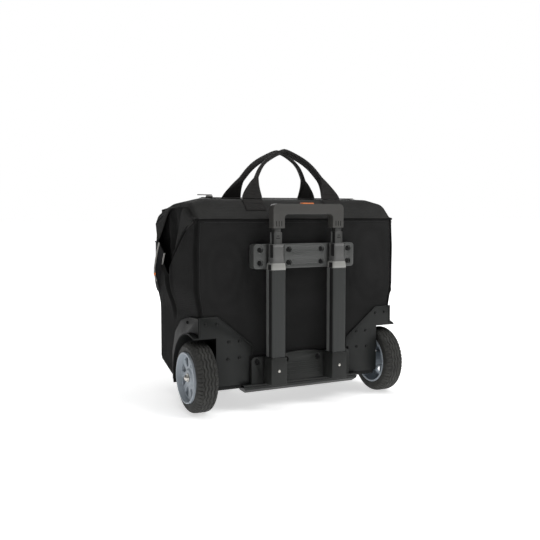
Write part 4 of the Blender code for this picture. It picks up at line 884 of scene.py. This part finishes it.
def make_teeth(name, low_x, high_x, edge, toward, z):
    """A row of separate zip teeth along the edge of a tape."""
    pitch, width, reach, tall = 0.0026, 0.0015, 0.0026, 0.0018
    verts, faces = [], []
    count = int((high_x - low_x) / pitch)
    for i in range(count):
        x = low_x + pitch * (i + (0.5 if toward > 0 else 0.0)) + 0.0006
        shape = [(-0.5, -0.3), (0.5, -0.3), (0.5, 0.45), (0.3, 0.62), (0.42, 0.85), (0.2, 1.0), (-0.2, 1.0),
                 (-0.42, 0.85), (-0.3, 0.62), (-0.5, 0.45)]
        start = len(verts)
        for level in (0.0, tall):
            verts += [(x + a * width, edge - toward * 0.0012 + toward * b * reach, z - 0.0002 + level)
                      for a, b in shape]
        n = len(shape)
        faces.append(tuple(start + k for k in range(n)))
        faces.append(tuple(start + n + k for k in range(n)))
        faces += [(start + k, start + (k + 1) % n, start + n + (k + 1) % n, start + n + k) for k in range(n)]
    return mesh_object(name, verts, faces, NICKEL, 30)


# ---------------------------------------------------------------- wheels
TYRE_SHOULDER = 0.0125
TREAD_GROOVES = (-0.0115, -0.0038, 0.0038, 0.0115)
TREAD_WAVES = 26
TREAD_DEPTH = 0.0022
HUB_SCREWS = 0.0122


def make_tyre(word, side):
    columns, steps = 64, 360
    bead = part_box("rim_" + word)[1].z - AXLE.z + 0.0003
    shoulder, half = TYRE_SHOULDER, TYRE_HALF
    path = [(-half, bead + 0.001), (-half - 0.0004, (bead + WHEEL_R) / 2)]
    for k in range(9):
        t = math.radians(90 * k / 8)
        path.append((shoulder - half - shoulder * math.cos(t), WHEEL_R - shoulder + shoulder * math.sin(t)))
    path += [(-x, r) for x, r in reversed(path)]
    profile = resampled(path, columns)
    rows = []
    for i in range(steps):
        t = 2 * math.pi * i / steps
        zig = abs((i * TREAD_WAVES / steps) % 1.0 - 0.5) * 4 - 1
        for x, r in profile:
            depth = 0.0
            for g in TREAD_GROOVES:
                depth = max(depth, 1 - max(0.0, abs(x - g - 0.0016 * zig) - 0.0006) / 0.0009)
            cut = abs(x) > half - 0.0085 and r > WHEEL_R - 0.0095
            block = abs((i * 2 * TREAD_WAVES / steps) % 1.0 - 0.5) < 0.14
            depth = max(depth if r > WHEEL_R - 0.004 else 0.0, 0.75 if cut and block else 0.0)
            radius = r - TREAD_DEPTH * depth
            rows.append((side * WHEEL_X + x, AXLE.y + radius * math.cos(t), AXLE.z + radius * math.sin(t)))
        for x in (half - 0.001, 0.001 - half):
            rows.append((side * WHEEL_X + x, AXLE.y + bead * math.cos(t), AXLE.z + bead * math.sin(t)))
    tyre = mesh_object("tyre_%s_tread" % word, rows, grid_faces(steps, columns + 2, True, True), TYRE, 42)
    place(tyre, "wheel_" + word, "tyre", "tyre_" + word)


def make_wheels():
    for word, side in SIDES.items():
        make_tyre(word, side)
        refined("rim_" + word, RIM, 0.0011, "rim", 3)
        NODES["hub_bush_" + word].data.materials[0] = PLASTIC
        face = side * (WHEEL_X + TYRE_HALF + 0.0049)
        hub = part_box("axle_nut_" + word)
        base, outer = (hub[0].x, hub[1].x) if side > 0 else (hub[1].x, hub[0].x)
        tall = abs(outer - base)
        dome = [(base + side * tall * share, r) for share, r in
                ((0, 0.0), (0, 0.0085), (0.10, 0.0092), (0.22, 0.0088), (0.26, 0.0072))]
        dome += [(base + side * tall * (0.30 + 0.70 * math.sin(a)), 0.0070 * math.cos(a))
                 for a in np.linspace(0, math.pi / 2, 9)]
        profile = [(d, max(r, 0.00005)) for d, r in dome]
        nut = turned("nut_dome_" + word, profile, (0, AXLE.y, AXLE.z), STEEL, 32, "X")
        place(nut, "bag", "steel", "axle_nut_" + word)
        bolts = []
        for t in (0.4, 0.4 + 2.094, 0.4 + 4.189):
            y, z = HUB_SCREWS * math.cos(t), HUB_SCREWS * math.sin(t)
            spot = (face - side * 0.0090, AXLE.y + y, AXLE.z + z)
            bolts.append(screw("hub_screw", spot, "X", side, 0.0016, 0.0008, STEEL))
        place(joined("hub_screws_" + word, bolts), "wheel_" + word, "steel")
    NODES["axle"].data.materials[0] = NICKEL


def screw(name, centre, axis, direction, radius, height, mat, recess=True):
    """Domed screw or rivet head whose top points along an axis."""
    profile = [(0.0, radius * 1.02), (height * 0.25, radius * 1.02)]
    profile += [(height * (0.25 + 0.75 * math.sin(a)), radius * math.cos(a)) for a in (0.35, 0.7, 1.05, 1.35)]
    if recess:
        profile += [(height * 0.98, radius * 0.36), (height * 0.45, radius * 0.30), (height * 0.45, 0.00005)]
    else:
        profile += [(height, 0.00005)]
    return turned(name, [(direction * d, r) for d, r in profile], centre, mat, 16, axis)


# ---------------------------------------------------------------- trolley
def section(width, depth, radius):
    """Rounded rectangle (x, y)."""
    w, d = width / 2, depth / 2
    points = []
    for sx, sy, start in ((1, 1, 0), (-1, 1, 90), (-1, -1, 180), (1, -1, 270)):
        for t in (math.radians(start + a) for a in (0, 22, 45, 68, 90)):
            x, y = sx * (w - radius), sy * (d - radius)
            points.append((x + radius * math.cos(t), y + radius * math.sin(t)))
    return points


def hollow(name, centre, rings, inner, mat, angle=35):
    """Closed-wall tube: outer rings of (points, z), and the inner bore's points."""
    cx, cy = centre
    loops = [[(cx + x, cy + y, z) for x, y in points] for points, z in rings]
    for z in (rings[-1][1], rings[0][1]):
        loops.append([(cx + x, cy + y, z) for x, y in inner])
    verts = [p for loop in loops for p in loop]
    count = len(loops[0])
    return mesh_object(name, verts, grid_faces(len(loops), count, True, True), mat, angle)


def clamped(points, half_x, half_y):
    return [(max(-half_x, min(half_x, x)), max(-half_y, min(half_y, y))) for x, y in points]


def make_outer_tube(word):
    low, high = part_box("outer_tube_" + word)
    width, depth = high.x - low.x, high.y - low.y
    outside = section(width, depth, 0.0040)
    inside = clamped(outside, width / 2 - 0.0018, depth / 2 - 0.0018)
    centre = ((low.x + high.x) / 2, (low.y + high.y) / 2)
    rings = [(outside, low.z), (outside, high.z)]
    obj = hollow("outer_tube_%s_extrusion" % word, centre, rings, inside, ANODISED)
    place(obj, "bag", "aluminium", "outer_tube_" + word)


def make_collar(word):
    """Glossy throat with a wide lower flare, a paler shell over the flare that is a painted highlight, and
    black strips of painted shade where its side groove runs.
    """
    low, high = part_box("collar_" + word)
    size, tall = high - low, high.z - low.z

    def outline(share, grow=0.0):
        return [neck + (whole - neck) * share + grow for neck, whole in zip(COLLAR_NECK, size)]

    rings = [(section(*outline(share), 0.0050), low.z + tall * v) for v, share in
             ((0, 1), (0.012, 1.0), *COLLAR_FLARE, (0.32, 0.24), (0.38, 0.06), (0.44, 0.0), (0.86, 0.0),
              (0.87, -0.10), (0.90, -0.10), (0.91, 0.0), (0.985, 0.0), (1.0, -0.12))]
    inside = clamped(rings[0][0], COLLAR_BORE[0] / 2 + 0.0003, COLLAR_BORE[1] / 2 + 0.0003)
    centre = ((low.x + high.x) / 2, (low.y + high.y) / 2)
    obj = hollow("collar_%s_throat" % word, centre, rings, inside, GLOSS, 50)
    place(obj, "bag", "gloss", "collar_" + word)
    # A paler shell just over the flare: painted highlight.
    lip = [(section(*outline(share, 0.0004), 0.0048), low.z + tall * v)
           for v, share in ((0.02, 1.0), *COLLAR_FLARE)]
    inner = clamped(lip[0][0], COLLAR_NECK[0] / 2 - 0.0010, COLLAR_NECK[1] / 2 - 0.0010)
    place(hollow("collar_painted_highlight_" + word, centre, lip, inner, GLOSS_HIGHLIGHT, 50), "bag", "gloss")
    # Black strips down the collar's sides: painted shade of a side groove that is not cut.
    for v, top, share, run in ((0.02, 0.22, 1, 0.0135), (0.48, 0.97, 0, 0.0120)):
        width, depth = outline(share)
        edges = (centre[0] - width / 2 - 0.0003, centre[0] + width / 2 + 0.0003)
        strips("collar_grooves_%s_%d" % (word, share), edges, centre[1] + depth / 2 - 0.0030, run,
               (low.z + tall * v, low.z + tall * top), "bag", SHADE_BLACK)


def strips(name, edges, y, run, levels, body, mat):
    """Thin upright strips at both side faces of a tube, reaching forward from y."""
    made = []
    for x in edges:
        corners = [(x - STRIP, y - run), (x + STRIP, y - run), (x + STRIP, y), (x - STRIP, y)]
        made.append(loft_object("strip", [[(a, b, z) for a, b in corners] for z in levels], mat, 30))
    place(joined(name, made), body, "rubber")


def tube_strips(kind, word, body, levels, groove, flank):
    """A black strip of painted shade where the slide groove is, and a pale strip of painted highlight on the
    flank, down a tube's sides: (start from its rear face, run) of each.
    """
    low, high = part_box({"tube": "outer_tube_", "stage": "mid_tube_"}[kind] + word)
    for part, (start, run), mat in (("grooves", groove, SHADE_BLACK), ("flank_highlights", flank, FLANK_HIGHLIGHT)):
        strips("%s_%s_%s" % (kind, part, word), (low.x, high.x), high.y - start, run, levels, body, mat)


def stage_slots(word, x):
    """Two small black cords near the top of the middle stage: painted shade of its moulded slots, which are
    not cut.
    """
    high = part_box("mid_tube_" + word)[1]
    slots = [tube("slot", [(x + a, high.y, high.z - drop) for a in (-half, 0.0, half)], 0.0008, SHADE_BLACK, 6)
             for drop, half in ((0.0080, 0.0030), (0.0125, 0.0045))]
    place(joined("stage_slots_" + word, slots), "trolley_mid", "rubber")


def make_trolley():
    for word, side in SIDES.items():
        tube_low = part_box("outer_tube_" + word)[0]
        collar_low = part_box("collar_" + word)[0].z
        tube_strips("tube", word, "bag", (tube_low.z + 0.002, collar_low), (0.0022, 0.0120), (0.0146, 0.0120))
        stage_low, stage_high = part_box("mid_tube_" + word)
        levels = (stage_low.z + 0.004, stage_high.z - 0.0006)
        tube_strips("stage", word, "trolley_mid", levels, (0.0012, 0.0095), (0.0112, 0.0065))
        stage_slots(word, side * TUBE_X)
        make_outer_tube(word)
        make_collar(word)
        refined("tube_foot_" + word, PLASTIC_LOW, 0.0012, "plastic", 3)
        refined("mid_tube_" + word, ANODISED_PALE, 0.0010, "aluminium", 2)
        refined("inner_tube_" + word, ANODISED_PALE, 0.0010, "aluminium", 2)
        NODES["mid_bush_" + word].data.materials[0] = PLASTIC
        NODES["lock_plug_" + word].data.materials[0] = PLASTIC
        spot = (side * TUBE_X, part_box("tube_foot_" + word)[1].y, 0.0880)
        rivet = screw("foot_rivet_" + word, spot, "Y", 1, 0.0030, 0.0014, STEEL, False)
        place(rivet, "bag", "steel")
    refined("grip", GRIP, 0.0030, "grip", 3)
    refined("release_button", ORANGE, 0.0008, "button", 2)
    make_grip_details()
    make_brackets()


def make_grip_details():
    low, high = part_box("grip")
    ribs = []
    for side in SIDES.values():
        for offset in (-0.0062, 0.0, 0.0062):
            x = side * (high.x - 0.0135) + offset
            for y in (high.y - 0.0003, low.y + 0.0003):
                ribs.append(tube("rib", [(x, y, z) for z in np.linspace(low.z + 0.004, low.z + 0.015, 4)],
                                 0.0008, BINDING, 8))
    place(joined("grip_ribs", ribs), "trolley_grip", "grip")


def make_brackets():
    refined("upper_bracket", PLASTIC_SATIN, 0.0014, "plastic", 3)
    refined("lower_bracket", PLASTIC_LOW, 0.0012, "plastic", 3)
    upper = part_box("upper_bracket")
    heads = []
    outside, inside = (TUBE_X + CHANNEL + upper[1].x) / 2, TUBE_X - CHANNEL - 0.0160
    middle = (upper[0].z + upper[1].z) / 2
    # The bolt heads take the near-black painted shade of their recesses.
    for x in (-outside, -inside, inside, outside):
        for z in (middle - BOLT_RISE, middle + BOLT_RISE):
            heads.append(screw("head", (x, upper[1].y - BOLT_DEPTH, z), "Y", 1, *BOLT, SHADE_BLACK))
    face = BACK_Y + LOWER_PLATE
    for x in (-outside, -inside, inside, outside):
        heads.append(screw("head", (x, face - BOLT_DEPTH, LOWER_BOLT_Z), "Y", 1, *BOLT, SHADE_BLACK))
    place(joined("bracket_bolts", heads), "bag", "plastic")
    ribs = []
    for low, high, count, y, half, radius, mat in (
            (middle - 0.0165, middle + 0.0165, 5, upper[1].y, 0.030, 0.0011, PLASTIC_SATIN),
            (0.0700, 0.0960, 4, face, 0.046, 0.0007, PLASTIC_LOW)):
        ribs += [tube("rib", [(x, y - 0.0001, z) for x in np.linspace(-half, half, 6)], radius, mat)
                 for z in np.linspace(low, high, count)]
    place(joined("bracket_ribs", ribs), "bag", "plastic")
    shape = ((0.012, 0.0460), (0.0462, 0.0515), (0.0462, 0.0460), (0.0360, 0.0385), (0.012, 0.0400))
    lip = [[(sign * (0.1445 - 0.6 * (0.0515 - z)), AXLE.y + y, z) for y, z in shape] for sign in (-1, 1)]
    place(loft_object("skid_lip", lip, PLASTIC_LOW, 30), "bag", "plastic")


# ---------------------------------------------------------------- corner guards
def make_guards():
    for word, side in SIDES.items():
        refined("corner_guard_" + word, PLASTIC, 0.0010, "plastic", 2)
        plate_y = BACK_Y + PLATE
        heads = [screw("rivet", (side * x, plate_y, z), "Y", 1, *RIVET, PLASTIC, False)
                 for x, z in GUARD_RIVETS]
        spot = (side * (HALF + PLATE), AXLE.y - 0.0308, 0.1900)
        heads.append(screw("rivet", spot, "X", side, *RIVET, PLASTIC, False))
        place(joined("guard_rivets_" + word, heads), "bag", "plastic")
        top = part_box("corner_guard_" + word)[1].z
        edge = [(side * 0.1193, plate_y, 0.1200), (side * 0.1193, plate_y, 0.1412),
                (side * 0.1993, plate_y, top - 0.0012), (side * (HALF - 0.004), plate_y, top - 0.0012),
                (side * (HALF + 0.0012), plate_y - 0.0010, top - 0.0014),
                (side * (HALF + PLATE), BACK_Y - 0.004, top - 0.0018),
                (side * (HALF + PLATE), BACK_Y - 0.050, top - 0.0052)]
        place(tube("guard_rim_" + word, smoothed(edge, 70), 0.0013, PLASTIC), "bag", "plastic")
        bead = [(side * (HALF + 0.0002), BACK_Y + 0.0002, z) for z in np.linspace(top - 0.001, 0.166, 16)]
        place(tube("guard_bead_" + word, bead, 0.0033, PLASTIC, 12), "bag", "plastic")


def smoothed(points, count):
    """A denser path along straight runs, its corners a little rounded."""
    line = resampled(points, count)
    for _ in range(3):
        line[1:-1] = (line[:-2] + 2 * line[1:-1] + line[2:]) / 4
    return [Vector(p) for p in line]


# ---------------------------------------------------------------- pockets
def make_front_pocket():
    low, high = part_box("front_pocket")
    depth = high.y - low.y

    def point(v, share):
        u = 2 * share - 1
        round_off = quarter(min(1.0, (1 - abs(u)) / 0.045))
        tuck = quarter(min(1.0, v / 0.10))
        out = depth * (0.90 + 0.10 * math.sin(math.pi * v)) * round_off * (0.15 + 0.85 * tuck)
        out += 0.0015 * ripple((u, v, 0), 4, 2) * round_off
        return u * high.x, high.y - out, low.z + (high.z - low.z) * v - 0.004 * (1 - u * u) * (v > 0.98)

    points = grid(40, 120, point)
    pocket = sheet_object("pocket_canvas", points, CANVAS, TOP_THICK)
    place(pocket, "bag", "canvas", "front_pocket")
    place(tube("pocket_binding", points[-1], 0.0020, BINDING), "bag", "canvas")
    seam = [(p[0], p[1] - 0.0004, p[2]) for p in points[14][2:-2]]
    place(stitches("pocket_stitching", seam, 0.003, 0.002, 0.0004), "bag", "canvas")


def make_flap():
    low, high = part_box("pocket_flap")
    path = top_profile([(high.y, high.z), (low.y + 0.0005, 0.3232), (low.y, low.z)], 26, 0.010)

    def point(v, share):
        y, z = path[round(v * 25)]
        u = 2 * share - 1
        corner = max(0.0, (abs(u) - 0.90) / 0.10)
        lift = 0.014 * (1 - math.sqrt(max(0.0, 1 - corner * corner))) * v
        return u * high.x, y - 0.0010 * ripple((u, v * 25 / 26, 1), 4, 6) * v, z + lift

    points = grid(26, 90, point)
    flap = sheet_object("flap_canvas", points, CANVAS, SHELL_THICK)
    place(flap, "flap", "canvas", "pocket_flap")
    binding = smoothed(three_edges(points), 160)
    place(tube("flap_binding", binding, 0.0019, BINDING), "flap", "canvas")


def make_end_pocket():
    """Small gusseted pocket: its rear side wall stands out from the end and has pale edging on both edges."""
    low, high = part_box("end_pocket")
    def point(v, u):
        rear = high.y - 0.028 * (1 - v) + 0.0020 * math.sin(7.0 * v)
        rise = min(1.0, u / 0.10)
        z = low.z + (high.z - low.z) * v - 0.024 * (1 - rise) * v
        reach = END_POCKET_OUT * interp(v, (0, 0.18, 0.35, 0.7, 1), (0.55, 0.95, 1.0, 0.80, 0.62))
        out = reach * rise * (1 - 0.93 * u)
        return low.x + END_POCKET_STAND + out, rear + (low.y - rear) * u, z

    points = grid(30, 40, point)
    pocket = sheet_object("end_pocket_cloth", points, POCKET_CLOTH, 0.0014, angle=30)
    place(pocket, "bag", "canvas", "end_pocket")
    for name, column in (("inner", 0), ("outer", 4)):
        line = [(p[0] + 0.0008, p[1] + 0.0008, p[2]) for p in points[:, column]]
        place(tube("end_pocket_edge_" + name, line, 0.0019, PALE_EDGE, 10), "bag", "webbing")
    mouth = [(p[0] + 0.0004, p[1], p[2]) for p in points[-1]]
    place(tube("end_pocket_mouth", mouth, 0.0015, BINDING), "bag", "webbing")
    make_end_strap(low, rear_y=high.y - 0.024)


def make_end_strap(low, rear_y):
    """Webbing end hanging from the end pocket, and its orange lock bead."""
    loops = []
    for i in range(18):
        v = i / 17
        z = low.z + 0.010 - 0.036 * v
        half = 0.009 * math.sqrt(max(0.02, 1 - max(0.0, (v - 0.72) / 0.28) ** 2))
        x = low.x + 0.0170 - 0.0060 * v + 0.0012 * math.sin(v * 3)
        loops.append([Vector((x + b * 0.0012, rear_y - 0.012 + a * half, z)) for a, b in strap_ring(0)])
    place(loft_object("end_strap", loops, WEBBING, 50), "bag", "webbing")
    spot = (low.x + END_POCKET_OUT + 0.0050, rear_y + 0.0010, low.z + 0.0170)
    place(screw("end_bead", spot, "X", 1, 0.0036, 0.0034, ORANGE, False), "bag", "button")


def make_side_tab():
    low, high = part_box("side_tab")
    middle = (low.y + high.y) / 2
    path = [(high.x + 0.0010, 0.2715), (low.x + 0.0040, 0.2560), (low.x + 0.0008, 0.2415),
            (low.x + 0.0040, 0.2375), (high.x + 0.0010, 0.2360)]
    loops = [[Vector((x - 0.0060 + b * 0.0009, middle + a * 0.0125, z)) for a, b in strap_ring(0)]
             for x, z in top_profile(path, 22, 0.005)]
    place(loft_object("side_tab_webbing", loops, WEBBING, 50), "bag", "webbing", "side_tab")


# ---------------------------------------------------------------- inside and underneath
def make_inside():
    low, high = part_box("tool_divider")

    def point(v, u):
        y = (low.y + high.y) / 2 + 0.0012 * ripple((u * 3, v, 0), 3, 8)
        return low.x + (high.x - low.x) * u, y, low.z + (high.z - low.z) * v

    points = grid(30, 90, point)
    divider = sheet_object("divider_board", points, LINING, 0.0036, offset=0.0)
    place(divider, "bag", "lining", "tool_divider")
    place(tube("divider_binding", smoothed(three_edges(points), 120), 0.0026, BINDING), "bag", "canvas")
    loops = []
    for k in range(9):
        x = low.x + (high.x - low.x) * (k + 0.5) / 9
        half = (high.x - low.x) / 9 / 2 - 0.003
        arc = [(x - half * math.cos(t), low.y - 0.001 - 0.010 * math.sin(t))
               for t in np.linspace(0, math.pi, 14)]
        rings = [[Vector((px, py + b * 0.0009, high.z - 0.045 + a * 0.0125)) for a, b in strap_ring(0)]
                 for px, py in arc]
        loops.append(loft_object("loop", rings, WEBBING, 50))
    place(joined("tool_loops", loops), "bag", "webbing")
    for node in ("rear_hem_rod", "lid_hem_rod"):
        NODES[node].data.materials[0] = STEEL
    refined("floor_board", BOARD, 0.0006, "board", 1)
    refined("base_tray", PLASTIC, 0.0010, "plastic", 2)
    for word in SIDES:
        refined("front_foot_" + word, PLASTIC, 0.0015, "plastic", 2)
        refined("foot_pad_" + word, RUBBER, 0.0012, "rubber", 2)


# ---------------------------------------------------------------- studio
CAMERA_AT = (0.807, AXLE.y + 1.4830, 0.4282)
CAMERA_TURN, CAMERA_TILT = math.radians(26.80), math.radians(4.44)
LAMPS = (("key", (-1.1, 1.5, 1.9), (0, 0, 0.25), (1.2, 1.2), 25),
         ("fill", (2.0, 1.6, 1.2), (0, 0, 0.2), (1.4, 1.4), 4),
         ("top", (0, 0.2, 2.4), (0, 0, 0.3), (1.6, 1.6), 21),
         ("front", (-0.6, -2.2, 1.4), (0, 0, 0.2), (1.6, 1.4), 18))
FLOOR_HALF, FLOOR_Z = 30, -0.0004
FLOOR_GLOW = {"From Min": 0.45, "From Max": 1.60, "To Min": 0.60, "To Max": 1.0}


def make_camera():
    turn, tilt = CAMERA_TURN, CAMERA_TILT
    forward = Vector((-math.sin(turn) * math.cos(tilt), -math.cos(turn) * math.cos(tilt), -math.sin(tilt)))
    data = bpy.data.cameras.new("camera")
    data.lens = 50
    data.sensor_width = 36
    camera = bpy.data.objects.new("camera", data)
    camera.location = CAMERA_AT
    camera.rotation_euler = forward.to_track_quat("-Z", "Y").to_euler()
    bpy.context.scene.collection.objects.link(camera)
    bpy.context.scene.camera = camera


def area_light(name, place_at, target, size, power):
    data = bpy.data.lights.new(name, "AREA")
    data.shape = "RECTANGLE"
    data.size, data.size_y = size
    data.energy = power
    lamp = bpy.data.objects.new(name, data)
    lamp.location = place_at
    lamp.rotation_euler = (Vector(target) - Vector(place_at)).to_track_quat("-Z", "Y").to_euler()
    bpy.context.scene.collection.objects.link(lamp)


def make_studio():
    scene = bpy.context.scene
    scene.view_settings.view_transform = "Standard"
    world = bpy.data.worlds.new("studio")
    scene.world = world
    world.use_nodes = True
    tree = world.node_tree
    seen = tree.nodes.new("ShaderNodeLightPath").outputs["Is Camera Ray"]
    share = tree.nodes.new("ShaderNodeMapRange")
    share.inputs["To Min"].default_value = 0.09
    share.inputs["To Max"].default_value = 1.0
    tree.links.new(seen, share.inputs["Value"])
    tree.links.new(share.outputs["Result"], tree.nodes["Background"].inputs["Strength"])
    tree.nodes["Background"].inputs["Color"].default_value = (1, 1, 1, 1)
    for lamp in LAMPS:
        area_light(*lamp)
    corners = [(x * FLOOR_HALF, y * FLOOR_HALF, FLOOR_Z) for x, y in ((-1, -1), (1, -1), (1, 1), (-1, 1))]
    floor = mesh_object("floor", corners, [(0, 1, 2, 3)], floor_material())


def floor_material():
    """White paper whose own glow rises away from the bag, where the lamps no longer reach."""
    s = Shader("floor_paper", (0.90, 0.90, 0.90), 0.9)
    s.tint(s.noise(2.0), 0.995, 1.005)
    far = s.node("ShaderNodeVectorMath", operation="LENGTH")
    s.link(s.coords, far.inputs[0])
    glow = s.node("ShaderNodeMapRange", FLOOR_GLOW)
    s.link(far.outputs["Value"], glow.inputs["Value"])
    s.link(glow.outputs["Result"], s.bsdf.inputs["Emission Strength"])
    return s.set(Emission_Color=(1, 1, 1, 1), Specular_IOR_Level=0.0).mat


def main():
    for make in (make_camera, make_studio, make_bag_shell, make_shoulder, make_lid, make_ears, make_gussets,
                 make_piping, make_seams, make_handles, make_zip, make_wheels, make_trolley, make_guards,
                 make_front_pocket, make_flap, make_end_pocket, make_side_tab, make_inside):
        make()


main()
